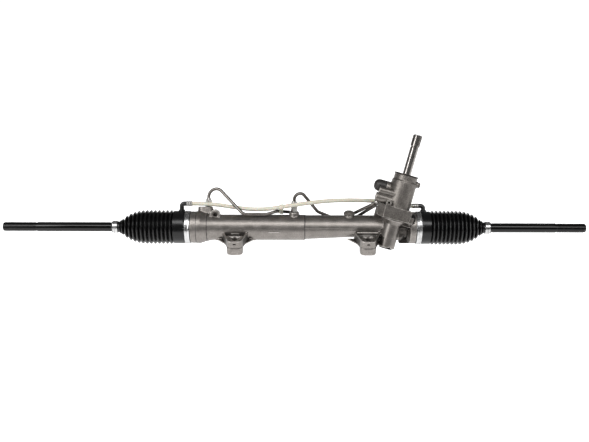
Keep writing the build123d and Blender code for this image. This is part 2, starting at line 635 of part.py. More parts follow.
# Rack bar with slanted teeth cut into its flattened front
def rack_bar():
    bar = Pos(-RACK_END, 0, 0) * Rot(Y=90) * disc(RACK_D, 0, RACK_LENGTH)
    bar = chamfer(bar.edges().group_by(Axis.X)[0] + bar.edges().group_by(Axis.X)[-1], 1.0)
    threads = turned_x([
        (-RACK_END - 1, 0), (-RACK_END - 1, SOCKET_STUD_D / 2 + RUNNING),
        (SOCKET_STUD_LENGTH - RACK_END + 2, SOCKET_STUD_D / 2 + RUNNING), (SOCKET_STUD_LENGTH - RACK_END + 4, 0),
    ])
    bar = bar - threads - mirrored(threads)
    groove = turned_x([
        (PISTON_X - 2, RACK_D / 2 - 1), (PISTON_X - 2, RACK_D), (PISTON_X + 2, RACK_D), (PISTON_X + 2, RACK_D / 2 - 1),
    ])
    bar -= groove
    slant = math.tan(math.radians(RACK_TOOTH_ANGLE))
    flank = math.tan(math.radians(PRESSURE_ANGLE)) / math.cos(math.radians(RACK_TOOTH_ANGLE))
    depth = 2.25 * MODULE
    mean = RACK_PITCH / 4 + BACKLASH / 2
    top = mean + MODULE * flank
    bottom = top - depth * flank
    over = 3.0
    reach = RACK_D
    gap = Polygon(
        (-top - over * flank, -RACK_FLAT - over), (-bottom, depth - RACK_FLAT), (bottom, depth - RACK_FLAT),
        (top + over * flank, -RACK_FLAT - over), align=None,
    )
    tool = extrude(Pos(slant * reach / 2, 0, -reach / 2) * gap, reach, dir=(-slant, 0, 1))
    flat_length = (RACK_GAPS + 3) * RACK_PITCH
    cuts = GEAR * Pos(0, -RACK_FLAT, 0) * Box(flat_length, RACK_D, RACK_D, align=(Align.CENTER, Align.MAX, Align.CENTER))
    gaps = [
        GEAR * Pos((index - (RACK_GAPS - 1) / 2) * RACK_PITCH, 0, 0) * tool for index in range(RACK_GAPS)
    ]
    return bar - cuts - gaps


def piston():
    half = PISTON_WIDTH / 2
    outer_r = PISTON_D / 2
    bore_r = RACK_D / 2 + RUNNING
    return turned_x([
        (PISTON_X - half, bore_r), (PISTON_X - half, outer_r - 1), (PISTON_X - half + 1, outer_r),
        (PISTON_X - 2, outer_r), (PISTON_X - 2, outer_r - 2), (PISTON_X + 2, outer_r - 2), (PISTON_X + 2, outer_r),
        (PISTON_X + half - 1, outer_r), (PISTON_X + half, outer_r - 1), (PISTON_X + half, bore_r),
        (PISTON_X + 1.9, bore_r), (PISTON_X + 1.9, bore_r - 0.9), (PISTON_X - 1.9, bore_r - 0.9),
        (PISTON_X - 1.9, bore_r),
    ])


def piston_ring():
    inner_r = PISTON_D / 2 - 2 + RUNNING
    outer_r = CYLINDER_BORE_D / 2 - RUNNING
    return turned_x([
        (PISTON_X - 1.9, inner_r), (PISTON_X - 1.9, outer_r), (PISTON_X + 1.9, outer_r), (PISTON_X + 1.9, inner_r),
    ])


# Inner ball joint, built for the right side and mirrored for the left
def ball_socket():
    shell_r = BALL_D / 2 + BALL_PLAY + BALL_SHELL + BALL_PLAY
    mouth = math.radians(SOCKET_MOUTH_ANGLE)
    mouth_x = BALL_X + shell_r * math.cos(mouth)
    mouth_r = shell_r * math.sin(mouth)
    stud_start = SOCKET_FACE - LOCK_WASHER - SOCKET_STUD_LENGTH
    outer_r = SOCKET_D / 2
    outside = Polyline(
        (BALL_X - shell_r, 0), (stud_start, 0), (stud_start, SOCKET_STUD_D / 2), (SOCKET_FACE, SOCKET_STUD_D / 2),
        (SOCKET_FACE, outer_r), (BALL_X + 2, outer_r), (mouth_x + 2, mouth_r + 3), (mouth_x + 2, mouth_r + 1),
        (mouth_x, mouth_r),
    )
    middle = math.radians(SOCKET_MOUTH_ANGLE + (180 - SOCKET_MOUTH_ANGLE) / 2)
    inside = ThreePointArc(
        (mouth_x, mouth_r),
        (BALL_X + shell_r * math.cos(middle), shell_r * math.sin(middle)),
        (BALL_X - shell_r, 0),
    )
    body = revolve(make_face(Curve() + [outside, inside]), Axis.X)
    for side in (-1, 1):
        body -= Pos(SOCKET_FACE + 7, 0, side * (outer_r - 1.5)) * Box(
            8, SOCKET_D, 4, align=(Align.CENTER, Align.CENTER, Align.MIN if side > 0 else Align.MAX)
        )
    return body


def ball_shell(start, end):
    """Part of the bearing shell round the ball, between two angles from the rod's direction."""
    inner_r = BALL_D / 2 + BALL_PLAY
    outer_r = inner_r + BALL_SHELL

    def arc(radius, first, last):
        points = []
        for angle in (first, (first + last) / 2, last):
            turn = math.radians(angle)
            points.append((BALL_X + radius * math.cos(turn), radius * math.sin(turn)))
        return ThreePointArc(*points)

    outer = arc(outer_r, start, end)
    inner = arc(inner_r, end, start)
    edges = [outer, Line(outer @ 1, inner @ 0), inner, Line(inner @ 1, outer @ 0)]
    return revolve(make_face(Curve() + edges), Axis.X)


def ball_cup():
    return ball_shell(120, 180)


def ball_ring():
    return ball_shell(60, 93)


def lock_washer():
    return Pos(RACK_END, 0, 0) * Rot(Y=90) * ring(RACK_D - 1, SOCKET_STUD_D + 0.4, 0, LOCK_WASHER)


def tie_rod(tip, thread_length, flats_length):
    ball_r = BALL_D / 2
    neck_r = ROD_NECK_D / 2
    neck_x = BALL_X + math.sqrt(ball_r**2 - neck_r**2)
    thread_start = tip - thread_length
    flats_start = thread_start - flats_length
    rod_r = ROD_D / 2
    relief_r = THREAD_RELIEF_D / 2
    edges = [
        ThreePointArc((BALL_X - ball_r, 0), (BALL_X, ball_r), (neck_x, neck_r)),
        Polyline(
            (neck_x, neck_r), (BALL_X + 15, neck_r), (BALL_X + 24, rod_r), (thread_start - THREAD_RELIEF, rod_r),
            (thread_start - THREAD_RELIEF, relief_r), (thread_start, relief_r), (thread_start, rod_r),
            (tip - 1.5, rod_r), (tip, rod_r - 1.5), (tip, 0), (BALL_X - ball_r, 0),
        ),
    ]
    rod = revolve(make_face(Curve() + edges), Axis.X)
    for side in (-1, 1):
        rod -= Pos((flats_start + thread_start) / 2 - THREAD_RELIEF, 0, side * ROD_FLATS_AF / 2) * Box(
            flats_length - 6, ROD_D, 4, align=(Align.CENTER, Align.CENTER, Align.MIN if side > 0 else Align.MAX)
        )
    return rod


# Bellows boot for one side, as a turned wall
def boot(rim_end, bellows_start):
    seat_start = rim_end - BOOT_SEAT_LENGTH + 0.6
    inner_seat = BOOT_SEAT_D / 2 + RUNNING
    seat_outer = inner_seat + BOOT_WALL
    folds = round((BELLOWS_END - bellows_start) / BELLOWS_PITCH)
    straight = round(folds * BELLOWS_STRAIGHT) - 1
    pitch = (BELLOWS_END - bellows_start) / folds
    cuff_outer = BOOT_CUFF_D / 2

    def crest(index):
        slope = max(0, index - straight) / (folds - 1 - straight)
        return (BELLOWS_D + (BELLOWS_SMALL_D - BELLOWS_D) * slope) / 2

    outer = [(seat_start, seat_outer), (rim_end, seat_outer), (rim_end + 1, cuff_outer), (bellows_start, cuff_outer)]
    for index in range(folds):
        left = bellows_start + index * pitch
        outer.append((left + pitch * 0.1, crest(index) - BELLOWS_DEPTH))
        outer.append((left + pitch * 0.55, crest(index)))
        outer.append((left + pitch * 0.8, crest(index)))
    small = BOOT_SMALL_D / 2
    outer += [(BELLOWS_END, BELLOWS_SMALL_D / 2 - BELLOWS_DEPTH), (BELLOWS_END + 2, small), (BOOT_END, small)]
    inner = [(BOOT_END, ROD_D / 2 + RUNNING), (BELLOWS_END + 2, ROD_D / 2 + RUNNING)]
    for x, radius in reversed(outer[4:-2]):
        inner.append((x, radius - BELLOWS_WALL))
    inner += [(bellows_start, cuff_outer - BOOT_WALL + 0.5), (rim_end + 1, cuff_outer - BOOT_WALL + 0.5)]
    inner += [(rim_end + 0.4, inner_seat), (seat_start, inner_seat)]
    return turned_x(outer + inner)


def band(centre, inner_d, ear):
    """A crimped band clamp with its pinched ear at the back."""
    strap = turned_x([
        (centre - CLAMP_WIDTH / 2, inner_d / 2), (centre - CLAMP_WIDTH / 2, inner_d / 2 + CLAMP_THICKNESS),
        (centre + CLAMP_WIDTH / 2, inner_d / 2 + CLAMP_THICKNESS), (centre + CLAMP_WIDTH / 2, inner_d / 2),
    ])
    if ear:
        loop = Pos(0, 0, inner_d / 2 + CLAMP_THICKNESS - 0.4) * Box(
            CLAMP_WIDTH - 1.5, 6, 4, align=(Align.CENTER, Align.CENTER, Align.MIN)
        )
        loop = chamfer(loop.edges().group_by(Axis.Z)[-1], 0.8)
        loop -= Pos(0, 0, inner_d / 2 + CLAMP_THICKNESS + 1.6) * Box(CLAMP_WIDTH + 2, 3, 3)
        strap += Pos(centre, 0, 0) * Rot(X=-125) * loop
    return strap


def large_clamp(rim_end):
    return band(rim_end - BOOT_SEAT_LENGTH / 2 - 0.2, BOOT_SEAT_D + 2 * BOOT_WALL + 4 * RUNNING, True)


def small_clamp():
    return band(SMALL_CLAMP_CENTRE, BOOT_SMALL_D + 2 * RUNNING, False)


# Vent elbow on a boot's cuff, with a barbed arm along X
def vent_elbow(vent):
    rise = vent["rise"]
    reach = vent["arm_end"] - vent["x"]
    stub = bent_tube([(0, 0, BOOT_CUFF_D / 2 - 2), (0, 0, rise), (reach, 0, rise)], 5.0, VENT_ARM_D)
    foot = disc(12.2, BOOT_CUFF_D / 2 - 2, BOOT_CUFF_D / 2 + 2.2)
    body = port_frame(vent["x"], vent["angle"]) * (stub + foot)
    return body - Pos(vent["x"], 0, 0) * Rot(Y=90) * Cylinder(BOOT_CUFF_D / 2 + 4 * RUNNING, 40)


# Valve housing on the pinion's axis
def block_plan():
    return Polygon(
        (-24, -BLOCK_FRONT), (26, -BLOCK_FRONT), (28, -BLOCK_FRONT + 6), (27, 4), (-26, 4), (-35, -5), (-37, -13),
        align=None,
    )


def valve_housing():
    neck_low = TOWER_SHOULDER
    rim_low = TOWER_TOP - TOWER_RIM_HEIGHT
    body = turned_z([
        (0, SPLIT_HEIGHT), (TOWER_D / 2, SPLIT_HEIGHT), (TOWER_D / 2, neck_low - 1.5), (TOWER_NECK_D / 2, neck_low + 1.5),
        (TOWER_NECK_D / 2, rim_low), (TOWER_RIM_D / 2, rim_low), (TOWER_RIM_D / 2, TOWER_TOP), (0, TOWER_TOP),
    ])
    block = Pos(0, 0, SPLIT_HEIGHT) * extrude(block_plan(), BLOCK_TOP - SPLIT_HEIGHT)
    shield = Plane.XZ * Polygon(
        (-40, 45), (-37.5, 28), (-33, SPLIT_HEIGHT), (24, SPLIT_HEIGHT), (28, 29), (28, 45), align=None
    )
    block = block & extrude(shield, 40, both=True)
    shape = body + block
    for x, y in EAR_PLACES:
        toward = math.degrees(math.atan2(y, x))
        reach = math.hypot(x, y)
        web = Rot(Z=toward) * Pos(reach / 2, 0, SPLIT_HEIGHT) * Box(
            reach, EAR_D, EAR_TOP - SPLIT_HEIGHT, align=(Align.CENTER, Align.CENTER, Align.MIN)
        )
        shape += Pos(x, y, 0) * disc(EAR_D, SPLIT_HEIGHT, EAR_TOP) + web
    eye = Pos(EYE_X, -BLOCK_FRONT, EYE_HEIGHT) * Rot(X=-90) * disc(EYE_D, 0, 16)
    eye_web = Pos(EYE_X, -BLOCK_FRONT, BLOCK_TOP - 2) * Box(
        EYE_D, 15, 4, align=(Align.CENTER, Align.MIN, Align.MIN)
    )
    shape += eye + eye_web
    shape += port_bosses()
    shape -= Pos(EYE_X, -BLOCK_FRONT, EYE_HEIGHT) * Rot(X=-90) * disc(4.6, -1, 10)
    shape += Pos(0, 0, NUB_HEIGHT) * Rot(Y=90) * disc(12, 0, TOWER_D / 2 + 1.5)
    for x, y in EAR_PLACES:
        shape -= Pos(x, y, 0) * disc(BOLT_SIZE + 0.8, SPLIT_HEIGHT - 1, EAR_TOP + 1)
        shape -= Pos(x, y, 0) * disc(BOLT_HEAD_AF + 4, EAR_TOP, EAR_TOP + 14)
    shape -= turned_z([
        (0, SPLIT_HEIGHT - 1), (UPPER_BEARING_D / 2, SPLIT_HEIGHT - 1),
        (UPPER_BEARING_D / 2, SPLIT_HEIGHT + UPPER_BEARING_WIDTH), (VALVE_BORE_D / 2, SPLIT_HEIGHT + UPPER_BEARING_WIDTH),
        (VALVE_BORE_D / 2, SHAFT_SHOULDER), (SHAFT_BEARING_D / 2, SHAFT_SHOULDER), (SHAFT_BEARING_D / 2, SEAL_SEAT),
        (SHAFT_SEAL_D / 2, SEAL_SEAT), (SHAFT_SEAL_D / 2, TOWER_TOP + 1), (0, TOWER_TOP + 1),
    ])
    shape -= ring(SHAFT_SEAL_D + 2.4, SHAFT_SEAL_D - 2, SNAP_LOW, SNAP_LOW + 1.4)
    shape -= ring(O_RING_D + 3.2, O_RING_D - 3.2, SPLIT_HEIGHT - 1, SPLIT_HEIGHT + 1.6)
    shape -= port_drillings()
    return PINION * shape


def left_boss(place, diameter, face_x):
    """A boss on the tower's left flank, its axis across the pinion's."""
    y, height = place
    return Pos(face_x, y, height) * Rot(Y=90) * disc(diameter, 0, -face_x)


def pipe_port_frame(index):
    """Z points out of a pipe port, down and to the left."""
    y, along = PIPE_PORTS[index]
    base = Pos(PIPE_PORT_X, y, PIPE_PORT_HEIGHT) * Rot(Y=-90 - VALVE_PORT_ANGLE)
    return base * Pos(along, 0, 0)


def port_bosses():
    bosses = left_boss(UPPER_PORT, 23, UPPER_PORT_FACE_X)
    bosses += left_boss(BLIND_BOSS, 13, PORT_FACE_X + 3)
    bosses += left_boss(LOWER_PORT, 17, PORT_FACE_X)
    slope = math.radians(VALVE_PORT_ANGLE)
    up = (-math.sin(slope), math.cos(slope))
    corner_high = (PIPE_PORT_X + 14 * up[0], PIPE_PORT_HEIGHT + 14 * up[1])
    corner_low = (PIPE_PORT_X - 8 * up[0], PIPE_PORT_HEIGHT - 8 * up[1])
    outline = Plane.XZ * Polygon(
        corner_high, corner_low, (-6, corner_low[1]), (-6, 59), (corner_high[0], 59), align=None
    )
    block = Pos(0, 25, 0) * extrude(outline, 28.5)
    return bosses + block


def port_drillings():
    y, height = LOWER_PORT
    drillings = Pos(PORT_FACE_X, y, height) * Rot(Y=90) * (disc(LOWER_PORT_D, -1, LOWER_PORT_DEPTH) + disc(5, 0, 40))
    y, height = UPPER_PORT
    drillings += Pos(UPPER_PORT_FACE_X, y, height) * Rot(Y=90) * (disc(12, -1, 9) + disc(5, 0, 25))
    for index in range(2):
        drillings += pipe_port_frame(index) * (disc(PIPE_NUT_STEM_D, -PIPE_NUT_STEM - 2, 1) + disc(4, -16, 0))
    drillings += Pos(0, 0, NUB_HEIGHT) * Rot(Y=90) * disc(7, SHAFT_BEARING_D / 2 + 3, TOWER_D / 2 + 3)
    return drillings


def valve_housing_bolts():
    bolts = []
    for x, y in EAR_PLACES:
        head = hexagon(BOLT_HEAD_AF, EAR_TOP, EAR_TOP + BOLT_HEAD_HEIGHT)
        flange = disc(BOLT_HEAD_AF + 2.6, EAR_TOP, EAR_TOP + 1.5)
        shank = disc(BOLT_SIZE - 2 * RUNNING, SPLIT_HEIGHT - 11, EAR_TOP + 1)
        bolts.append(PINION * Pos(x, y, 0) * (head + flange + shank))
    return bolts


def valve_housing_oring():
    return PINION * (ring(O_RING_D + 2.8, O_RING_D - 2.8, SPLIT_HEIGHT, SPLIT_HEIGHT + 1.5))


# Bearings as separate rings and balls
def bearing(outer_d, bore_d, width, low, balls):
    middle_r = (outer_d + bore_d) / 4
    ball_r = (outer_d - bore_d) / 9
    race = Pos(0, 0, low + width / 2) * Torus(middle_r, ball_r + RUNNING)
    gap = ball_r * 0.55
    outer = ring(outer_d, 2 * (middle_r + gap), low, low + width) - race
    inner = ring(2 * (middle_r - gap), bore_d, low, low + width) - race
    spheres = [
        Rot(Z=index * 360 / balls) * Pos(middle_r, 0, low + width / 2) * Sphere(ball_r) for index in range(balls)
    ]
    return outer, inner, spheres


def pinion_nut():
    low = NUT_LOW
    high = LOWER_BEARING_TOP - LOWER_BEARING_WIDTH
    return PINION * (hexagon(14, low, high) - disc(LOWER_BEARING_BORE - 0.7, low - 1, high + 1))


def pinion_cap():
    low = PINION_HOUSING_BOTTOM - 1.5
    cup = disc(CAP_D - 4 * RUNNING, low, CAP_SEAT - RUNNING) - disc(CAP_D - 6, low + 2, CAP_SEAT + 1)
    cup = cup - disc(8, low - 1, low + 0.8)
    return PINION * cup


def valve_sleeve():
    grooves = [SLEEVE_LOW + 5 + index * 11 for index in range(4)]
    shape = ring(VALVE_BORE_D - 0.8, 2 * (SPOOL_R + RUNNING), SLEEVE_LOW, SLEEVE_HIGH)
    for low in grooves:
        shape -= ring(VALVE_BORE_D + 2, VALVE_BORE_D - 4, low, low + 2)
    return PINION * shape


def valve_sleeve_rings():
    grooves = [SLEEVE_LOW + 5 + index * 11 for index in range(4)]
    return [PINION * ring(VALVE_BORE_D - 2 * RUNNING, VALVE_BORE_D - 3.9, low + 0.1, low + 1.9) for low in grooves]


def input_shaft():
    shaft_r = INPUT_SHAFT_D / 2
    tip = INPUT_SHAFT_TIP
    serrated = tip - SERRATION_LENGTH
    shape = turned_z([
        (TORSION_END_R + 0.4, SPOOL_LOW), (SPOOL_JOURNAL_R, SPOOL_LOW), (SPOOL_JOURNAL_R, SLEEVE_LOW + 0.3),
        (SPOOL_R, SLEEVE_LOW + 0.3), (SPOOL_R, SLEEVE_HIGH), (shaft_r, SLEEVE_HIGH), (shaft_r, serrated - 3),
        (shaft_r - 0.8, serrated - 2), (shaft_r - 0.8, serrated - 1), (SERRATION_D / 2, serrated),
        (SERRATION_D / 2, tip - 1.2), (SERRATION_D / 2 - 1.2, tip), (0, tip), (0, TORSION_HIGH + 0.5),
        (TORSION_END_R + 0.4, TORSION_HIGH + 0.5),
    ])
    shape -= Pos(0, 0, TWIST_PIN_HEIGHT) * Rot(X=90) * Cylinder(1.55, 2 * SERRATION_D)
    return PINION * shape


def torsion_bar():
    bar = turned_z([
        (0, TORSION_LOW), (TORSION_END_R, TORSION_LOW), (TORSION_END_R, SPOOL_LOW - 1),
        (TORSION_MIDDLE_R, SPOOL_LOW + 4), (TORSION_MIDDLE_R, TWIST_PIN_HEIGHT - 12),
        (TORSION_END_R, TWIST_PIN_HEIGHT - 7), (TORSION_END_R, TORSION_HIGH), (0, TORSION_HIGH),
    ])
    bar -= Pos(0, 0, TWIST_PIN_HEIGHT) * Rot(X=90) * Cylinder(1.55, SERRATION_D)
    return PINION * bar


def torsion_bar_pin():
    return PINION * Pos(0, 0, TWIST_PIN_HEIGHT) * Rot(X=90) * Cylinder(1.5, SERRATION_D - 1.6)


def input_shaft_bearing():
    return PINION * ring(SHAFT_BEARING_D - 2 * RUNNING, INPUT_SHAFT_D + 2 * RUNNING, SHAFT_SHOULDER + 0.2, SEAL_SEAT)


def input_shaft_seal():
    lip_r = INPUT_SHAFT_D / 2 + RUNNING
    outer_r = SHAFT_SEAL_D / 2 - RUNNING
    return PINION * turned_z([
        (lip_r, SEAL_SEAT + 2), (lip_r + 1, SEAL_SEAT + 0.1), (outer_r, SEAL_SEAT + 0.1), (outer_r, SNAP_LOW),
        (lip_r + 3, SNAP_LOW), (lip_r + 1.4, SNAP_LOW + 1), (lip_r, SNAP_LOW - 1),
    ])


def seal_snap_ring():
    open_ring = ring(SHAFT_SEAL_D + 2.2, SHAFT_SEAL_D - 4, SNAP_LOW + 0.1, SNAP_LOW + 1.3)
    gap = Pos(SHAFT_SEAL_D / 2, 0, SNAP_LOW) * Box(8, 9, 6)
    return PINION * Rot(Z=200) * (open_ring - gap)


# Yoke that presses the rack into the pinion
def rack_yoke():
    saddle_r = RACK_D / 2 + RUNNING + LINER
    body = disc(YOKE_D - 2 * RUNNING, 3, 3 + YOKE_LENGTH)
    body -= disc(SPRING_D + 2, 3 + YOKE_LENGTH - 12, 4 + YOKE_LENGTH)
    return YOKE * (body - Rot(Y=90) * Cylinder(saddle_r, 2 * YOKE_D))


def yoke_liner():
    inner_r = RACK_D / 2 + RUNNING
    shell = Cylinder(inner_r + LINER, 24) - Cylinder(inner_r, 30)
    keep = Pos(0, 0, 4) * Box(YOKE_D, YOKE_D, YOKE_D, align=(Align.CENTER, Align.CENTER, Align.MIN))
    return YOKE * ((Rot(Y=90) * shell) & keep)


def yoke_spring():
    low = 3 + YOKE_LENGTH - 12
    high = PLUG_LOW
    wire_r = 1.2
    turns = 3.5
    path = Helix((high - low - 2 * wire_r - 0.2) / turns, high - low - 2 * wire_r - 0.2, SPRING_D / 2 - wire_r)
    coil = sweep(Plane(origin=path @ 0, z_dir=path % 0) * Circle(wire_r), path, is_frenet=True)
    return YOKE * Pos(0, 0, low + wire_r + 0.1) * coil


def yoke_plug():
    top = YOKE_BOSS_FACE + 5
    plug = disc(YOKE_D - 2 * RUNNING, PLUG_LOW, top)
    plug -= hexagon(17, top - 7, top + 1)
    return YOKE * plug


def yoke_locknut():
    low = YOKE_BOSS_FACE
    nut = hexagon(46, low, low + 4) & turned_z([(0, low), (24, low), (26, low + 1), (26, low + 2.6), (24, low + 4), (0, low + 4)])
    return YOKE * (nut - disc(YOKE_D + 2 * RUNNING, low - 1, low + 6))


# Plugs and caps
def port_cap():
    y, height = UPPER_PORT
    shape = turned_z([
        (0, -8), (5.6, -8), (5.6, 0), (11.4, 0), (11.4, 14), (9.5, 19), (5.5, 22), (0, 23),
    ])
    return PINION * Pos(UPPER_PORT_FACE_X, y, height) * Rot(Y=-90) * shape


def drilling_plug():
    low = TOWER_D / 2 + 1.5
    shape = disc(6.9, SHAFT_BEARING_D / 2 + 4, low) + disc(9.6, low, low + 4.5)
    shape = chamfer(shape.edges().group_by(Axis.Z)[-1], 0.8)
    return PINION * Pos(0, 0, NUB_HEIGHT) * Rot(Y=90) * shape


def core_plug():
    r = PLUG_D / 2
    shape = disc(8.9, 14, PLUG_SEAT) + turned_z([
        (0, PLUG_SEAT), (r - 1, PLUG_SEAT), (r, PLUG_SEAT + 1), (r - 0.4, PLUG_SEAT + 4), (r - 3.4, PLUG_SEAT + 6.6),
        (0, PLUG_SEAT + 7.6),
    ])
    for index in range(CORE_PLUG_RIBS):
        shape -= Rot(Z=index * 360 / CORE_PLUG_RIBS) * Pos(r + 0.3, 0, PLUG_SEAT - 1) * Cylinder(
            1.2, 5.6, align=(Align.CENTER, Align.CENTER, Align.MIN)
        )
    return port_frame(PLUG_X, PLUG_ANGLE) * shape


def pipe_nut(height):
    body = hexagon(PIPE_NUT_AF, 0, height - 3)
    body += turned_z([(0, height - 3), (PIPE_NUT_AF / 2 - 0.4, height - 3), (PIPE_D / 2 + 1.2, height), (0, height)])
    body += disc(PIPE_NUT_STEM_D - 2 * RUNNING, -PIPE_NUT_STEM, 0)
    return body - disc(PIPE_D + 2 * RUNNING, -PIPE_NUT_STEM - 1, height + 1)


def nut_frames():
    left = port_frame(LEFT_PORT_X, LEFT_PORT_ANGLE) * Pos(0, 0, LEFT_PORT_TOP)
    right = port_frame(RIGHT_PORT_X, RIGHT_PORT_ANGLE) * Pos(0, 0, RIGHT_PORT_TOP)
    return [
        (left, LEFT_NUT_TOP - LEFT_PORT_TOP),
        (right, RIGHT_NUT_TOP - RIGHT_PORT_TOP),
        (PINION * pipe_port_frame(0), VALVE_NUT_HEIGHT),
        (PINION * pipe_port_frame(1), VALVE_NUT_HEIGHT),
    ]


def pipe_nuts():
    return [frame * pipe_nut(height) for frame, height in nut_frames()]


def pipe_points(start, end, climb, route):
    """Corners of a pipe from the seat of one nut, up its port's axis, to the seat of the other."""
    first = point_in(start, 0, 0, -PIPE_NUT_STEM)
    top = point_in(start, 0, 0, climb)
    middle = [point_in(VIEW, *point) for point in route]
    leaving = point_in(end, 0, 0, PIPE_RUN_OUT)
    return [first, top, *middle, leaving, point_in(end, 0, 0, -PIPE_NUT_STEM)]


def left_pipe_points():
    frames = nut_frames()
    return pipe_points(frames[0][0], frames[3][0], LEFT_PIPE_CLIMB - LEFT_PORT_TOP, LEFT_PIPE)


def left_cylinder_pipe():
    return bent_tube(left_pipe_points(), LEFT_PIPE_RADII, PIPE_D)


def right_pipe_points():
    frames = nut_frames()
    return pipe_points(frames[1][0], frames[2][0], RIGHT_PIPE_CLIMB - RIGHT_PORT_TOP, RIGHT_PIPE)


def right_cylinder_pipe():
    return bent_tube(right_pipe_points(), RIGHT_PIPE_RADII, PIPE_D)


def pipe_clip():
    """The plastic clip that ties the hose to the left pipe."""
    slab = Pos(CLIP_START, 0, 0) * Box(
        CLIP_END - CLIP_START, LUG_FLARE_WIDTH * 2, LUG_FLARE_WIDTH * 2, align=(Align.MIN, Align.CENTER, Align.CENTER)
    )
    hose = hose_points()
    pipe = left_pipe_points()
    sleeves = bent_tube(pipe, LEFT_PIPE_RADII, PIPE_D + 3.4) + bent_tube(hose, hose_radii(hose), HOSE_D + 3)
    bores = bent_tube(pipe, LEFT_PIPE_RADII, PIPE_D + RUNNING) + bent_tube(hose, hose_radii(hose), HOSE_D + RUNNING)
    web = Pos((CLIP_START + CLIP_END) / 2, 0, 0) * VIEW * Pos(0, -13, 34) * Rot(X=-40) * Box(
        CLIP_END - CLIP_START, 8, 4
    )
    return (sleeves & slab) + web - bores


# The balance hose between the two vent elbows
def hose_points():
    left = port_frame(LEFT_VENT["arm_end"], LEFT_VENT_ANGLE)
    right = port_frame(RIGHT_VENT["arm_end"], RIGHT_VENT_ANGLE)
    first = LEFT_VENT["arm_end"] + 2 * HOSE_RUN_IN
    last = RIGHT_VENT["arm_end"] - HOSE_RUN_OUT - HOSE_RUN_IN / 2
    middle = [point_in(VIEW, *point) for point in HOSE if first < point[0] < last]
    return [
        point_in(left, 0, 0, LEFT_VENT_RISE), point_in(left, HOSE_RUN_IN, 0, LEFT_VENT_RISE), *middle,
        point_in(right, -HOSE_RUN_OUT, 0, RIGHT_VENT_RISE), point_in(right, 0, 0, RIGHT_VENT_RISE),
    ]


def hose_radii(points):
    """Arcs as large as the runs beside each corner allow."""
    radii = []
    for before, corner, after in zip(points, points[1:], points[2:]):
        run_in = corner - before
        run_out = after - corner
        half_turn = math.radians(run_in.get_angle(run_out)) / 2
        radii.append(0.45 * min(run_in.length, run_out.length) / math.tan(half_turn))
    return radii


def balance_hose():
    points = hose_points()
    radii = hose_radii(points)
    tube = bent_tube(points, radii, HOSE_D)
    length = tube.volume / (math.pi * HOSE_D**2 / 4)
    print("hose radii", [round(radius) for radius in radii], "length", round(length, 1))
    return tube


def named_parts():
    lower = bearing(LOWER_BEARING_D, LOWER_BEARING_BORE, LOWER_BEARING_WIDTH, LOWER_BEARING_TOP - LOWER_BEARING_WIDTH, 9)
    upper = bearing(UPPER_BEARING_D, UPPER_BEARING_BORE, UPPER_BEARING_WIDTH, SPLIT_HEIGHT, 9)
    yield "rack_housing", rack_housing()
    yield "valve_housing", valve_housing()
    yield "valve_housing_bolts", valve_housing_bolts()
    yield "valve_housing_oring", valve_housing_oring()
    yield "cylinder_end_bush", cylinder_end_bush()
    yield "end_bush_ring", end_bush_ring()
    yield "outer_rack_seal", outer_rack_seal()
    yield "inner_rack_seal", inner_rack_seal()
    yield "inner_seal_washer", inner_seal_washer()
    yield "rack_yoke", rack_yoke()
    yield "yoke_liner", yoke_liner()
    yield "yoke_spring", yoke_spring()
    yield "yoke_plug", yoke_plug()
    yield "yoke_locknut", yoke_locknut()
    yield "lower_bearing_outer", PINION * lower[0]
    yield "lower_bearing_balls", [PINION * ball for ball in lower[2]]
    yield "lower_bearing_inner", PINION * lower[1]
    yield "upper_bearing_outer", PINION * upper[0]
    yield "upper_bearing_balls", [PINION * ball for ball in upper[2]]
    yield "upper_bearing_inner", PINION * upper[1]
    yield "pinion_cap", pinion_cap()
    yield "pinion_nut", pinion_nut()
    yield "input_shaft_bearing", input_shaft_bearing()
    yield "input_shaft_seal", input_shaft_seal()
    yield "seal_snap_ring", seal_snap_ring()
    yield "left_cylinder_pipe", left_cylinder_pipe()
    yield "right_cylinder_pipe", right_cylinder_pipe()
    yield "pipe_nuts", pipe_nuts()
    yield "pipe_clip", pipe_clip()
    yield "port_cap", port_cap()
    yield "drilling_plug", drilling_plug()
    yield "core_plug", core_plug()
    yield "left_boot", mirrored(boot(-HOUSING_LEFT, LEFT_CUFF_LENGTH - HOUSING_LEFT))
    yield "right_boot", boot(HOUSING_RIGHT, HOUSING_RIGHT + RIGHT_CUFF_LENGTH)
    yield "large_boot_clamps", [mirrored(large_clamp(-HOUSING_LEFT)), large_clamp(HOUSING_RIGHT)]
    yield "left_vent_elbow", vent_elbow(LEFT_VENT)
    yield "right_vent_elbow", vent_elbow(RIGHT_VENT)
    yield "balance_hose", balance_hose()
    yield "rack_bar", rack_bar()
    yield "piston", piston()
    yield "piston_ring", piston_ring()
    yield "left_ball_socket", mirrored(ball_socket())
    yield "right_ball_socket", ball_socket()
    yield "socket_lock_washers", [mirrored(lock_washer()), lock_washer()]
    yield "left_ball_cup", mirrored(ball_cup())
    yield "right_ball_cup", ball_cup()
    yield "left_ball_ring", mirrored(ball_ring())
    yield "right_ball_ring", ball_ring()
    yield "left_small_clamp", mirrored(small_clamp())
    yield "right_small_clamp", small_clamp()
    yield "left_tie_rod", mirrored(tie_rod(LEFT_ROD_TIP, LEFT_THREAD_LENGTH, LEFT_FLATS_LENGTH))
    yield "right_tie_rod", tie_rod(RIGHT_ROD_TIP, RIGHT_THREAD_LENGTH, RIGHT_FLATS_LENGTH)
    yield "pinion", pinion()
    yield "valve_sleeve", valve_sleeve()
    yield "valve_sleeve_rings", valve_sleeve_rings()
    yield "input_shaft", input_shaft()
    yield "torsion_bar", torsion_bar()
    yield "torsion_bar_pin", torsion_bar_pin()


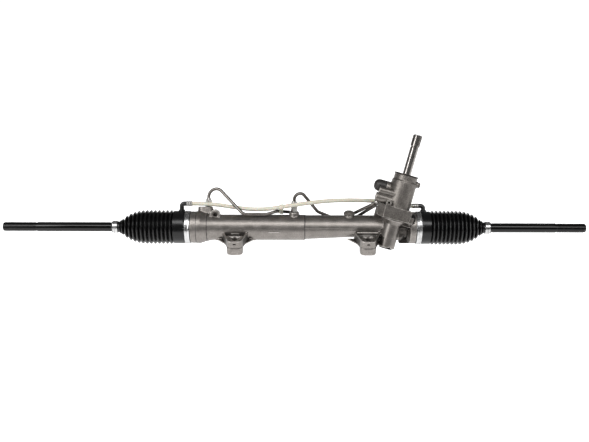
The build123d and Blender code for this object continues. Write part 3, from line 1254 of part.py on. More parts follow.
for name, shape in named_parts():
    pieces = shape if isinstance(shape, list) else [shape]
    placed = [RACK * piece for piece in pieces]
    export_step(Compound(children=placed) if len(placed) > 1 else placed[0], f"parts/{name}.step")
    print(name)
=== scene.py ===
import math

import bmesh
import bpy
from mathutils import Matrix, Vector


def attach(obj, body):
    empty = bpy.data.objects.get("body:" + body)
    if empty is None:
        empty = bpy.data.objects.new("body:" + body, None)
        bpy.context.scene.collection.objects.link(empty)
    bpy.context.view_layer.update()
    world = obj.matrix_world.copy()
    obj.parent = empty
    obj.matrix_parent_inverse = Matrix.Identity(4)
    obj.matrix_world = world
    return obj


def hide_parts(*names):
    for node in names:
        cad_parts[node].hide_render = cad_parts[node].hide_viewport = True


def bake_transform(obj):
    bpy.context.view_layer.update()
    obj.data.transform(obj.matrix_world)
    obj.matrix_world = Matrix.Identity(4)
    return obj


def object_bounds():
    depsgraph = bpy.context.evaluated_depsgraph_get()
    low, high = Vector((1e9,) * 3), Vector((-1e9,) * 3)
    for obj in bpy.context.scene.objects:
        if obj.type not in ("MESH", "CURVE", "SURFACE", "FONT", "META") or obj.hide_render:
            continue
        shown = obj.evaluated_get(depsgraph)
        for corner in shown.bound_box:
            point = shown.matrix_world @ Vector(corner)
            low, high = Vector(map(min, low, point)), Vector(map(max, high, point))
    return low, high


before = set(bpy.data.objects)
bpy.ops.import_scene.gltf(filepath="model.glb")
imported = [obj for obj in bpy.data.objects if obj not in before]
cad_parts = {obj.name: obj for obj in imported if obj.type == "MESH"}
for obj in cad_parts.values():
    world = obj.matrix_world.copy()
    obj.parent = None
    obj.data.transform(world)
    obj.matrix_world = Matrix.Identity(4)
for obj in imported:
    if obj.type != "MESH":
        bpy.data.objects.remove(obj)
cad_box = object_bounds()
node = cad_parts

# Rack housing: one aluminium casting, shot blasted, with machined seats on its two lugs.
# Sand-cast aluminium has soft edges, a fine grit and a dull, slightly warm grey sheen; where
# it is machined it is paler and smoother.
MM = 0.001
RACK_BACK = 42.0
RACK_HEIGHT = 27.0
RACK_AXIS = Vector((0, RACK_BACK, RACK_HEIGHT)) * MM
LUG_HALF_SPACING = 124.0
LUG_SPOT_HEIGHT = 26.2
LUG_SPOT_RADIUS = 10.2
HOUSING_VOXEL = 1.0


def linear(code):
    """A colour written as sRGB hex, as the linear value that the shader needs."""
    channels = []
    for place in (0, 2, 4):
        value = int(code[place:place + 2], 16) / 255
        channels.append(value / 12.92 if value <= 0.04045 else ((value + 0.055) / 1.055) ** 2.4)
    return channels + [1.0]


def add_node(tree, kind, inputs=None, **settings):
    """A node with its settings, its inputs given as values or as the sockets that feed them."""
    made = tree.nodes.new(kind)
    for name, value in settings.items():
        setattr(made, name, value)
    for name, value in (inputs or {}).items():
        if isinstance(value, bpy.types.NodeSocket):
            tree.links.new(value, made.inputs[name])
        else:
            made.inputs[name].default_value = value
    return made


def noise(tree, place, grain, detail):
    """Noise with patches of a size in mm."""
    return add_node(tree, "ShaderNodeTexNoise", {
        "Vector": place, "Scale": 1 / (grain * MM), "Detail": detail
    }).outputs["Fac"]


def mapped(tree, value, low, high, to_low=0.0, to_high=1.0):
    """A value taken from one range to another and held at its ends."""
    return add_node(tree, "ShaderNodeMapRange", {
        "Value": value, "From Min": low, "From Max": high, "To Min": to_low, "To Max": to_high
    }).outputs[0]


def mixed(tree, share, first, second):
    """A colour between two others."""
    return add_node(tree, "ShaderNodeMix", {
        "Factor": share, "A": first, "B": second
    }, data_type="RGBA").outputs["Result"]


def finish_for(name, pale, dark, rough, grain, depth, metallic=1.0, stretch=(1, 1, 1), edges=None,
               crease_shade_colour=None, blotch=14.0):
    """A finish that wanders between two shades in patches, with a grain that stands up by depth in mm."""
    material = bpy.data.materials.new(name)
    material.use_nodes = True
    tree = material.node_tree
    shader = tree.nodes["Principled BSDF"]
    place = add_node(tree, "ShaderNodeTexCoord").outputs["Object"]
    along = add_node(tree, "ShaderNodeMapping", {"Vector": place, "Scale": stretch}).outputs[0]
    patch = noise(tree, place, blotch, 5.0)
    grit = noise(tree, along, grain, 3.0)
    spread = mapped(tree, patch, 0.34, 0.66)
    speck = mapped(tree, grit, 0.3, 0.7)
    both = add_node(tree, "ShaderNodeMath", {0: spread, 1: speck, 2: speck}, operation="MULTIPLY_ADD")
    share = add_node(tree, "ShaderNodeMath", {0: both.outputs[0], 1: 0.62}, operation="MULTIPLY").outputs[0]
    colour = mixed(tree, share, linear(dark), linear(pale))
    if edges:
        point = add_node(tree, "ShaderNodeNewGeometry").outputs["Pointiness"]
        # Sharp edges turn paler, partly for wear and partly as a painted highlight.
        edge_wear_and_highlight = mapped(tree, point, 0.515, 0.57)
        # Creases turn darker, as painted shade.
        crease_shading = mapped(tree, point, 0.49, 0.44)
        colour = mixed(tree, edge_wear_and_highlight, colour, linear(edges))
        colour = mixed(tree, crease_shading, colour, linear(crease_shade_colour))
    gloss = mapped(tree, share, 0.0, 1.0, rough[0], rough[1])
    relief = add_node(tree, "ShaderNodeBump", {
        "Height": grit, "Distance": depth * MM, "Strength": 0.8
    }).outputs[0]
    tree.links.new(colour, shader.inputs["Base Color"])
    tree.links.new(gloss, shader.inputs["Roughness"])
    tree.links.new(relief, shader.inputs["Normal"])
    shader.inputs["Metallic"].default_value = metallic
    return material


def settled(obj):
    """The object's mesh with its modifiers worked into it and taken off."""
    graph = bpy.context.evaluated_depsgraph_get()
    mesh = bpy.data.meshes.new_from_object(obj.evaluated_get(graph), depsgraph=graph)
    obj.modifiers.clear()
    obj.data = mesh
    return mesh


def solid_of(outline, low, high, place=Matrix.Identity(4)):
    """A closed prism on an outline of (x, y) points in mm, between two heights."""
    count = len(outline)
    corners = [place @ (Vector((x, y, z)) * MM) for z in (low, high) for x, y in outline]
    sides = [(i, (i + 1) % count, (i + 1) % count + count, i + count) for i in range(count)]
    mesh = bpy.data.meshes.new("prism")
    mesh.from_pydata(corners, [], sides + [tuple(range(count)), tuple(range(count, 2 * count))])
    form = bmesh.new()
    form.from_mesh(mesh)
    bmesh.ops.recalc_face_normals(form, faces=form.faces)
    form.to_mesh(mesh)
    form.free()
    return mesh


def gathered(name, meshes):
    """One object that holds several meshes."""
    form = bmesh.new()
    for mesh in meshes:
        form.from_mesh(mesh)
    whole = bpy.data.meshes.new(name)
    form.to_mesh(whole)
    form.free()
    obj = bpy.data.objects.new(name, whole)
    bpy.context.collection.objects.link(obj)
    return obj


def welded(source):
    """A bare copy of a CAD node's mesh with its doubled vertices joined."""
    mesh = node[source].data.copy()
    mesh.materials.clear()
    form = bmesh.new()
    form.from_mesh(mesh)
    bmesh.ops.remove_doubles(form, verts=form.verts, dist=1e-6)
    form.to_mesh(mesh)
    form.free()
    return mesh


def casting(name, source, voxel, rounds, keep, cuts=(), additions=()):
    """A CAD node's copy with the soft edges of a sand casting, less the cuts and with the additions."""
    obj = bpy.data.objects.new(name, welded(source))
    bpy.context.collection.objects.link(obj)
    if cuts:
        tool = gathered(f"{name}_cuts", cuts)
        cut = obj.modifiers.new("cut", "BOOLEAN")
        cut.object = tool
        settled(obj)
        bpy.data.objects.remove(tool)
        whole = gathered(name, [obj.data, *additions])
        bpy.data.objects.remove(obj)
        whole.name = name
        obj = whole
    skin = obj.modifiers.new("skin", "REMESH")
    skin.mode = "VOXEL"
    skin.voxel_size = voxel * MM
    skin.use_smooth_shade = True
    soft = obj.modifiers.new("soft", "SMOOTH")
    soft.factor = 0.5
    soft.iterations = rounds
    thin = obj.modifiers.new("thin", "DECIMATE")
    thin.ratio = keep
    settled(obj)
    return obj


def belongs(obj, body, slot, *replaced):
    """Ties a piece to its body and hides the CAD nodes that it stands for; the slot is not used."""
    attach(obj, body)
    if replaced:
        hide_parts(*replaced)


cast_aluminium = finish_for(
    "shot blasted cast aluminium", "908b87", "625e5a", (0.33, 0.46), 0.9, 0.05, 0.9, edges="cfcbc6",
    crease_shade_colour="2a2725"
)
# This paler finish is also painted on the rib tops and the cast ledge as a highlight.
machined_and_highlight_aluminium = finish_for("machined cast aluminium and painted highlight", "b5b1ad", "8d8985", (0.25, 0.36), 0.5, 0.015)

# Mounting lugs of the rack housing: square bosses for the bolts, hung from the tube by two ribs in a V.
# A thin flared web ties each boss to the tube, and it stands on a slightly wider foot.
LUG_HALF_WIDTH = 15.0
LUG_CORNER = 8.0
LUG_FRONT = -17.0
LUG_REAR = 24.6
LUG_FOOT_TOP = 9.5
LUG_WEB_TOP = 20.5
LUG_TOP = 27.0
LUG_RIB_TOP = 29.2
FLARE_SPREAD = 23.0
FLARE_HALF_WIDTH = 42
BOLT_RADIUS = 5.25
CURVE_STEPS = 6
LAP = 0.2
lug_cuts = []
lug_additions = []
for lug_x in (-LUG_HALF_SPACING, LUG_HALF_SPACING):
    place = Matrix.Translation((lug_x * MM, 0, 0))
    low_box = [
        (-FLARE_HALF_WIDTH, LUG_FRONT), (FLARE_HALF_WIDTH, LUG_FRONT),
        (FLARE_HALF_WIDTH, LUG_REAR), (-FLARE_HALF_WIDTH, LUG_REAR),
    ]
    lug_cuts.append(solid_of(low_box, -10, LUG_FOOT_TOP, place))
    lug_cuts.append(solid_of([(-26, 9), (26, 9), (26, 16.5), (-26, 16.5)], 20, 30, place))
    arc = [math.radians(90 * step / CURVE_STEPS) for step in range(CURVE_STEPS + 1)]
    middle = LUG_HALF_WIDTH - LUG_CORNER
    rounded = [
        (middle + LUG_CORNER * math.cos(angle), middle + LUG_CORNER * math.sin(angle)) for angle in arc
    ]
    bored = [(BOLT_RADIUS * math.cos(angle), BOLT_RADIUS * math.sin(angle)) for angle in reversed(arc)]
    quarter = [(LUG_HALF_WIDTH, -LAP), *rounded, (-LAP, LUG_HALF_WIDTH), *bored, (BOLT_RADIUS, -LAP)]
    for corner in range(4):
        turn = Matrix.Rotation(math.radians(90 * corner), 4, "Z")
        lug_additions.append(solid_of(quarter, 0, LUG_FOOT_TOP + 0.5, place @ turn))
    for sign in (-1, 1):
        flare = []
        for step in range(CURVE_STEPS + 1):
            t = step / CURVE_STEPS
            flare.append((sign * (LUG_HALF_WIDTH + FLARE_SPREAD * t ** 1.2), -1 + (LUG_REAR + 1) * t))
        inside = [(sign * 9, LUG_REAR), (sign * 9, -1)]
        lug_additions.append(solid_of(flare + inside, 10.5, 13.5, place))
        rib = [(sign * x, y) for x, y in ((14.0, -7), (25.0, 22), (21.6, 22), (11.0, -7))]
        lug_additions.append(solid_of(rib, 10, LUG_RIB_TOP, place))
    web = [
        (-14, -4), (-24, 22), (24, 22), (14, -4), (10.5, -4), (10.5, 10.5), (-10.5, 10.5), (-10.5, -4),
    ]
    lug_additions.append(solid_of(web, 10, LUG_WEB_TOP, place))
    lug_additions.append(solid_of([(-14, 5.8), (14, 5.8), (14, 8.6), (-14, 8.6)], 12, 28.4, place))

# Port of the right pipe: a short cone cast on the tube, leaning back from the viewer.
# It is cut down to its true height and stands on a skirt of its own.
PORT_X = -13.5
PORT_LEAN = -15
RIGHT_PORT = (
    Matrix.Translation(Vector((PORT_X, RACK_BACK, RACK_HEIGHT)) * MM)
    @ Matrix.Rotation(math.radians(PORT_LEAN), 4, "X")
)


def regular(corners, radius):
    """The corners in mm of a regular outline."""
    turns = [math.radians(360 / corners * step) for step in range(corners)]
    return [(radius * math.cos(turn), radius * math.sin(turn)) for turn in turns]


port_cut = solid_of(regular(12, 12), 30.5, 42, RIGHT_PORT)
port_foot = solid_of(regular(12, 9.6), 20, 27.5, RIGHT_PORT)

# Finish of the housing: bare metal as cast, machined where a bolt or bracket sits on it.
# The pockets between the ribs and the recess right of the pinion are painted darker as shade; three seams are
# dark with grime.
housing = casting(
    "housing_casting", "rack_housing", HOUSING_VOXEL, 1, 0.42, [*lug_cuts, port_cut],
    [*lug_additions, port_foot]
)
# A darker casting, painted as shade.
painted_shade_casting = finish_for(
    "casting in painted shade", "56524e", "2b2826", (0.4, 0.55), 1.0, 0.08, 0.9, edges="8d8883", crease_shade_colour="161514"
)
seam_grime = finish_for("grime in a seam", "2b2927", "171615", (0.6, 0.7), 1.0, 0.02, 0.2)
for finish in (cast_aluminium, machined_and_highlight_aluminium, painted_shade_casting, seam_grime):
    housing.data.materials.append(finish)
MACHINED_AND_HIGHLIGHT = 1
SHADOWED = 2
GRIMY = 3
SEAMS = (-198.0, -177.8, 6.2)
SEAM_HALF_WIDTH = 0.75
for face in housing.data.polygons:
    x, y, z = [value / MM for value in face.center]
    lug_x = LUG_HALF_SPACING if x > 0 else -LUG_HALF_SPACING
    from_bolt = math.hypot(x - lug_x, y)
    from_axis = math.hypot(y - RACK_BACK, z - RACK_HEIGHT)
    facing_up = face.normal.z
    spot = abs(z - LUG_SPOT_HEIGHT) < 0.5 and from_bolt < LUG_SPOT_RADIUS and facing_up > 0.8
    seat = z < 0.6 and from_bolt < LUG_HALF_WIDTH
    # The rib tops take the paler machined finish as a painted highlight.
    highlight_rib_top = 1.0 < z - LUG_TOP < 2.6 and from_bolt < 32 and from_axis > 26 and facing_up > 0.6
    near_lug = abs(x - lug_x) < 40 and from_axis > 25 and -4 < y < 20
    pocket_floor = near_lug and (12.5 < z < 15 or 19.5 < z < 21.5) and facing_up > 0.5
    pocket_wall = near_lug and 13 < z < 26.5 and abs(x - lug_x) > 14.5 and abs(face.normal.x) > 0.5
    recess = 184 < x < 204 and from_axis < 31.5 and z < 60
    if spot or seat or highlight_rib_top:
        face.material_index = MACHINED_AND_HIGHLIGHT
    # Pocket floors, pocket walls and the recess get the darker casting as painted shade.
    elif pocket_floor or pocket_wall or recess:
        face.material_index = SHADOWED
    elif min(abs(x - seam) for seam in SEAMS) < SEAM_HALF_WIDTH and from_axis < 32:
        face.material_index = GRIMY
belongs(housing, "housing", "cast_aluminium", "rack_housing")

# Valve housing: the leaning tower, a rougher casting bolted on the gear casing.
# Its top face is machined for the shaft seal, the rest is as it left the mould.
PINION_X = 168.0
CENTRE_DISTANCE = 17.47026
PINION_LEAN = -25
PINION_SLANT = 15.5
PINION = (
    Matrix.Translation(RACK_AXIS + Vector((PINION_X * MM, 0, 0)))
    @ Matrix.Rotation(math.radians(PINION_LEAN), 4, "X")
    @ Matrix.Translation((0, -CENTRE_DISTANCE * MM, 0))
    @ Matrix.Rotation(math.radians(PINION_SLANT), 4, "Y")
)
TOWER_TOP = 105.4
TOWER_RIM_HEIGHT = 2.6
rough_casting = finish_for(
    "rough cast aluminium", "8a8580", "55514d", (0.34, 0.5), 1.1, 0.12, 0.88, edges="cac6c0",
    crease_shade_colour="211f1d", blotch=9.0
)
# The machined top face gets a darker finish than the casting.
dark_rim = finish_for("dark machined rim", "4a4643", "252321", (0.28, 0.42), 0.8, 0.02, 0.95)
tower = casting("valve_housing_casting", "valve_housing", 0.6, 2, 0.6)
tower.data.materials.append(rough_casting)
tower.data.materials.append(dark_rim)
to_pinion = PINION.inverted()
for face in tower.data.polygons:
    if (to_pinion @ face.center).z > (TOWER_TOP - TOWER_RIM_HEIGHT - 0.2) * MM:
        face.material_index = 1
belongs(tower, "housing", "rough_casting", "valve_housing")

# Flange bolts of the valve housing and the cap under the pinion: phosphated steel.
# They are nearly black, slightly oily and screwed in.
phosphated = finish_for("phosphated steel", "2c2b2b", "141414", (0.32, 0.46), 0.4, 0.02, 0.8)


def dress(names, finish):
    """Gives CAD nodes their finish."""
    for name in names:
        node[name].data.materials.clear()
        node[name].data.materials.append(finish)


dress(("valve_housing_bolts", "pinion_cap"), phosphated)

# Hidden seals and rings of the housing: black nitrile rubber and filled plastic.
# They sit in grooves and bores, and only the shaft's seal can be seen from outside.
nitrile = finish_for("nitrile rubber", "1d1d1e", "111112", (0.5, 0.65), 0.5, 0.02, 0.0)
dress(("valve_housing_oring", "outer_rack_seal", "inner_rack_seal", "input_shaft_seal"), nitrile)
filled_ptfe = finish_for("bronze filled ptfe", "5c4a37", "463728", (0.45, 0.6), 0.4, 0.01, 0.0)
dress((
    "piston_ring", "valve_sleeve_rings", "left_ball_cup", "right_ball_cup", "left_ball_ring",
    "right_ball_ring", "yoke_liner",
), filled_ptfe)

# Turned steel and aluminium inside: the rack bar, the pinion, the valve, the bearings and the bushes.
# They have fine rings from the lathe, and are bright and smooth.
LATHE_STRETCH = (1, 0.04, 0.04)
turned_steel = finish_for(
    "turned steel", "a09c97", "77736e", (0.22, 0.36), 0.35, 0.015, stretch=LATHE_STRETCH
)
dress((
    "rack_bar", "left_ball_socket", "right_ball_socket", "pinion", "valve_sleeve", "lower_bearing_outer",
    "lower_bearing_balls", "lower_bearing_inner", "upper_bearing_outer", "upper_bearing_balls",
    "upper_bearing_inner", "input_shaft_bearing",
), turned_steel)
turned_aluminium = finish_for(
    "turned aluminium", "c9c6c2", "a5a29e", (0.25, 0.4), 0.4, 0.015, stretch=LATHE_STRETCH
)
dress(("cylinder_end_bush", "inner_seal_washer", "rack_yoke", "yoke_plug", "piston"), turned_aluminium)

# Caps: a dull moulded cap on the feed port, a grey ribbed one on the tube, a plug in the tower's right.
# All three are blackish or grey, scuffed and blotched from handling.
scuffed_cap = finish_for("scuffed black cap", "34312f", "100f0e", (0.38, 0.6), 1.6, 0.18, 0.2, blotch=4.0)
ribbed_cap = finish_for("grey ribbed cap", "77726d", "45413e", (0.4, 0.55), 0.9, 0.05, 0.6, blotch=4.0)
dress(("port_cap",), scuffed_cap)
dress(("core_plug", "drilling_plug"), ribbed_cap)

# Springs, rings and the torsion bar: oil tempered spring steel, dark and even.
# They are inside, but for the snap ring in the tower's face.
spring_steel = finish_for("oil tempered spring steel", "5a5a5b", "3c3c3d", (0.3, 0.45), 0.4, 0.015)
dress(("end_bush_ring", "yoke_spring", "seal_snap_ring", "torsion_bar", "torsion_bar_pin"), spring_steel)

# Nuts and washers: zinc plated steel, pale and faintly mottled.
# They hold the pipes, the yoke's plug, the pinion and the ball sockets.
zinc = finish_for("zinc plated steel", "bdbbb7", "8e8c89", (0.24, 0.4), 0.6, 0.02, blotch=5.0)
dress(("pipe_nuts", "yoke_locknut", "pinion_nut", "socket_lock_washers"), zinc)

# Transfer pipes: bare drawn steel tube, grey with long pale glints.
# Each runs from the tower to one end of the cylinder and is held by a nut at both ends.
drawn_tube = finish_for("drawn steel tube", "7c7874", "4b4743", (0.26, 0.4), 0.8, 0.02, blotch=10.0)
dress(("left_cylinder_pipe", "right_cylinder_pipe"), drawn_tube)

# Balance hose: cream nylon tube that lets each boot breathe into the other.
# It is pushed on the two elbows' arms and lies along the front of the pipes' ports.
VIEW_TILT = math.radians(-30)
HOSE_DIAMETER = 7.5
HOSE_ROUTE = [
    (-206, -7.814, 44.316), (-192, -7.814, 44.316), (-172, -8.6, 43.6), (-150, -7, 41.2),
    (-126, -3.2, 37.4), (-100, -8, 34.2), (-70, -13.5, 33.6), (-42, -19, 37.2), (-13, -22.5, 42.2),
    (16, -20, 46.2), (46, -12, 49.8), (78, -4, 51.6), (108, 3, 51.8), (136, 9, 51.0),
    (160, 11.5, 48.6), (180, 9.6, 44.4), (194, 3.617, 41.342), (211.5, 3.617, 41.342),
]


def seen_from_front(along, back, up):
    """A point given along the rack, back from the viewer and up across the view, in mm."""
    return RACK_AXIS + Matrix.Rotation(VIEW_TILT, 3, "X") @ (Vector((along, back, up)) * MM)


nylon = finish_for("cream nylon", "cdc9bb", "b9b4a4", (0.25, 0.35), 1.2, 0.01, 0.0, blotch=18.0)
nylon.node_tree.nodes["Principled BSDF"].inputs["Subsurface Weight"].default_value = 0.25
nylon.node_tree.nodes["Principled BSDF"].inputs["Subsurface Scale"].default_value = 0.003
hose_curve = bpy.data.curves.new("balance_hose_tube", "CURVE")
hose_curve.dimensions = "3D"
line = hose_curve.splines.new("NURBS")
line.points.add(len(HOSE_ROUTE) - 1)
for point, spot in zip(line.points, HOSE_ROUTE):
    point.co = (*seen_from_front(*spot), 1)
line.order_u = 3
line.use_endpoint_u = True
line.resolution_u = 12
hose_curve.bevel_depth = HOSE_DIAMETER / 2 * MM
hose_curve.bevel_resolution = 8
hose_curve.use_fill_caps = True
hose_curve.materials.append(nylon)
hose = bpy.data.objects.new("balance_hose_tube", hose_curve)
bpy.context.collection.objects.link(hose)
belongs(hose, "housing", "cream_nylon", "balance_hose")
dress(("pipe_clip",), nylon)

# Bellows boots: moulded black rubber, thirteen folds that shrink towards the tie rod.
# Each boot is cut in three rings along its length.
BOOT_STEPS = 96
FOLDS = 13
STRAIGHT_FOLDS = 5
BELLOWS_END = 342.0
BOOT_END = 359.0
ROD_RADIUS = 8.0
SHOWN_ROD_RADIUS = 8.9
BALL_X = 305.0
BEND_START = BALL_X + 11
BEND_END = BALL_X + 24
CREST_RADIUS = 32.4
CREST_SHRINKS_BY = 17.0
FOLD_DEPTH = 4.6
BOOT_WALL = 1.7
FOLD_STEPS = 8
BOOTS = {"left": (-1, 220.0, 242.0), "right": (1, 226.5, 244.0)}

boot_rubber = finish_for("moulded boot rubber", "0b0b0c", "050505", (0.2, 0.3), 0.7, 0.02, 0.0, blotch=20.0)
boot_rubber.node_tree.nodes["Principled BSDF"].inputs["Specular IOR Level"].default_value = 0.32


def boot_profile(rim, start):
    """(distance from the middle, outer radius, inner radius) along one boot."""
    pitch = (BELLOWS_END - start) / FOLDS
    rows = [(rim - 10.4, 30.05, 27.08), (rim - 9.6, 30.1, 27.08), (rim + 0.3, 30.1, 27.08)]
    rows += [(rim + 1.2, 30.9, 28.5), (rim + 2.4, 31.0, 28.6), (start - 1.2, 31.0, 28.6)]
    for fold in range(FOLDS):
        slope = max(0, fold - STRAIGHT_FOLDS) / (FOLDS - 1 - STRAIGHT_FOLDS)
        crest = CREST_RADIUS - CREST_SHRINKS_BY * slope ** 2.7
        for step in range(FOLD_STEPS):
            turn = step / FOLD_STEPS * 2 * math.pi
            rise = 0.5 - 0.5 * math.cos(turn)
            outer = crest - FOLD_DEPTH * (1 - rise ** 0.7)
            rows.append((start + pitch * (fold + step / FOLD_STEPS), outer, outer - BOOT_WALL))
    rows += [(BELLOWS_END + 0.4, 13.2, 11.0), (BELLOWS_END + 2, 10.7, 8.1), (BELLOWS_END + 3, 10.5, 8.06)]
    rows += [(BOOT_END - 11.6, 10.5, 8.06), (BOOT_END - 11.4, 10.1, 8.06), (BOOT_END - 1.6, 10.1, 8.06)]
    rows += [(BOOT_END - 1.4, 10.5, 8.06), (BOOT_END - 0.4, 10.5, 8.06), (BOOT_END, 10.1, 8.4)]
    return rows


def turned_about_rack(name, loop, steps=BOOT_STEPS, angle=30):
    """A closed loop of (x, radius) in mm turned about the rack's axis."""
    form = bmesh.new()
    rings = []
    for x, radius in loop:
        if radius < 1e-6:
            rings.append([form.verts.new(RACK_AXIS + Vector((x, 0, 0)) * MM)])
            continue
        ring = []
        for step in range(steps):
            turn = 2 * math.pi * step / steps
            ring.append(form.verts.new(
                RACK_AXIS + Vector((x, radius * math.sin(turn), radius * math.cos(turn))) * MM
            ))
        rings.append(ring)
    for first, second in zip(rings, rings[1:] + rings[:1]):
        for step in range(steps):
            after = (step + 1) % steps
            if len(first) > 1 and len(second) > 1:
                form.faces.new((first[step], first[after], second[after], second[step]))
            elif len(first) > 1:
                form.faces.new((first[step], first[after], second[0]))
            elif len(second) > 1:
                form.faces.new((first[0], second[after], second[step]))
    bmesh.ops.recalc_face_normals(form, faces=form.faces)
    mesh = bpy.data.meshes.new(name)
    form.to_mesh(mesh)
    form.free()
    mesh.shade_smooth()
    mesh.set_sharp_from_angle(angle=math.radians(angle))
    obj = bpy.data.objects.new(name, mesh)
    bpy.context.collection.objects.link(obj)
    return obj


for side, (sign, rim, start) in BOOTS.items():
    rows = boot_profile(rim, start)
    stretching = [row for row in rows if row[0] <= BALL_X]
    lifting = [row for row in rows if BALL_X - 1 <= row[0] <= BEND_START]
    swinging = [row for row in rows if row[0] >= BEND_START]
    parts = (
        ("stretch", stretching, ("housing", "rack"), (rim, BALL_X)),
        ("lift", lifting, ("rack", f"{side}_cup"), (BALL_X, BEND_START)),
        ("swing", swinging, (f"{side}_cup", f"{side}_ring"), (BEND_START, BEND_END)),
    )
    cuts = []
    for index, (part, own, bodies, reach) in enumerate(parts):
        if index:
            own = [cuts[-1]] + [row for row in own if row[0] > cuts[-1][0]]
        cuts.append(own[-1])
        loop = [(sign * x, outer) for x, outer, inner in own]
        loop += [(sign * x, inner) for x, outer, inner in reversed(own)]
        ring = turned_about_rack(f"{side}_boot_{part}", loop, angle=50)
        ring.data.materials.append(boot_rubber)
        low, high = reach
        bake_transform(ring)
        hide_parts(f"{side}_boot")

# Band clamps: bright stainless strip, pulled tight round both ends of each boot.
# Each has a raised bead along both of its edges.
CLAMP_WIDTH = 9.0
CLAMP_FROM_RIM = 5.7
strip_steel = finish_for(
    "stainless strip", "cfcfcf", "939393", (0.2, 0.32), 0.5, 0.01, stretch=(1, 0.03, 0.03), blotch=8.0
)
for side, (sign, rim, start) in BOOTS.items():
    middle = rim - CLAMP_FROM_RIM
    half = CLAMP_WIDTH / 2
    loop = [
        (-half, 30.15), (-half, 31.1), (-half + 0.5, 31.45), (-half + 1.6, 31.45), (-half + 2.0, 31.2),
        (half - 2.0, 31.2), (half - 1.6, 31.45), (half - 0.5, 31.45), (half, 31.1), (half, 30.15),
    ]
    turned = [(sign * (middle + x), radius) for x, radius in loop]
    band = turned_about_rack(f"{side}_band", turned, angle=35)
    band.data.materials.append(strip_steel)
    belongs(band, "housing", "clamp_steel", "large_boot_clamps")
    loop = [
        (347.9, 10.2), (347.9, 11.5), (348.4, 11.9), (351.5, 11.9), (351.9, 11.3), (353.1, 11.3),
        (353.5, 11.9), (356.6, 11.9), (357.1, 11.5), (357.1, 10.2),
    ]
    turned = [(sign * x, radius) for x, radius in loop]
    small = turned_about_rack(f"{side}_small_band", turned, steps=64, angle=35)
    small.data.materials.append(strip_steel)
    belongs(small, f"{side}_ring", "clamp_steel", f"{side}_small_clamp")

# Vent elbows: black moulded plastic, one on each boot's cuff.
# Air passes through them and the hose from one boot to the other as the rack slides.
moulded_black = finish_for("black moulded plastic", "121212", "070707", (0.22, 0.34), 0.9, 0.02, 0.0)
dress(("left_vent_elbow", "right_vent_elbow"), moulded_black)

# Input shaft: hardened steel, its top end rolled with serrations for the column's clamp.
# It shows the sharpest reflections on the part, in narrow bright and dark stripes along it.
SERRATIONS = 36
SERRATION_LOW = 159.0
SHAFT_TIP = 181.0
SERRATION_TIP = 8.25
SERRATION_DEPTH = 0.7
SERRATION_WIDTH = 0.55
polished_steel = finish_for(
    "polished hardened steel", "b9b5b1", "6f6b68", (0.16, 0.26), 0.5, 0.01, blotch=6.0
)


def new_tree(name, sockets):
    """A geometry node tree with the named inputs, the sockets of its input node and its output node."""
    tree = bpy.data.node_groups.new(name, "GeometryNodeTree")
    tree.interface.new_socket("Geometry", in_out="OUTPUT", socket_type="NodeSocketGeometry")
    for title, kind in sockets:
        tree.interface.new_socket(title, in_out="INPUT", socket_type=kind)
    return tree, add_node(tree, "NodeGroupInput").outputs, add_node(tree, "NodeGroupOutput")


def grown(name, tree, values):
    """A plain mesh object that a tree grows from its values."""
    obj = bpy.data.objects.new(name, bpy.data.meshes.new(name))
    bpy.context.collection.objects.link(obj)
    modifier = obj.modifiers.new(name, "NODES")
    modifier.node_group = tree
    for item in tree.interface.items_tree:
        if item.in_out == "INPUT":
            modifier[item.identifier] = values[item.name]
    settled(obj)
    return obj


ribs, rib_in, rib_out = new_tree("ring of ribs", (
    ("Count", "NodeSocketInt"), ("Radius", "NodeSocketFloat"), ("Rib", "NodeSocketVector"),
    ("Material", "NodeSocketMaterial"),
))
circle = add_node(ribs, "GeometryNodeMeshCircle", {
    "Vertices": rib_in["Count"], "Radius": rib_in["Radius"]
})
outward = add_node(ribs, "FunctionNodeAlignRotationToVector", {
    "Vector": add_node(ribs, "GeometryNodeInputPosition").outputs[0]
}, axis="X")
one_rib = add_node(ribs, "GeometryNodeMeshCube", {"Size": rib_in["Rib"]})
placed_ribs = add_node(ribs, "GeometryNodeInstanceOnPoints", {
    "Points": circle.outputs[0], "Instance": one_rib.outputs["Mesh"], "Rotation": outward.outputs[0]
})
solid_ribs = add_node(ribs, "GeometryNodeRealizeInstances", {"Geometry": placed_ribs.outputs[0]})
dressed_ribs = add_node(ribs, "GeometryNodeSetMaterial", {
    "Geometry": solid_ribs.outputs[0], "Material": rib_in["Material"]
})
ribs.links.new(dressed_ribs.outputs[0], rib_out.inputs[0])

dress(("input_shaft",), polished_steel)
teeth = grown("input_shaft_serrations", ribs, {
    "Count": SERRATIONS, "Radius": SERRATION_TIP * MM,
    "Rib": (SERRATION_DEPTH * MM, SERRATION_WIDTH * MM, (SHAFT_TIP - SERRATION_LOW - 3) * MM),
    "Material": polished_steel,
})
teeth.data.transform(PINION @ Matrix.Translation((0, 0, (SHAFT_TIP + SERRATION_LOW) / 2 * MM)))
belongs(teeth, "input_shaft", "ground_steel")

# Torsion bar: a slim spring steel bar on the pinion's axis, pinned in the shaft's top end.
# It twists along its thin middle when the shaft turns against the pinion.
bar_mesh = welded("torsion_bar")
bar_mesh.materials.append(spring_steel)
twisting = bpy.data.objects.new("twisting_bar", bar_mesh)
bpy.context.collection.objects.link(twisting)
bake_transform(twisting)
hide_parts("torsion_bar")

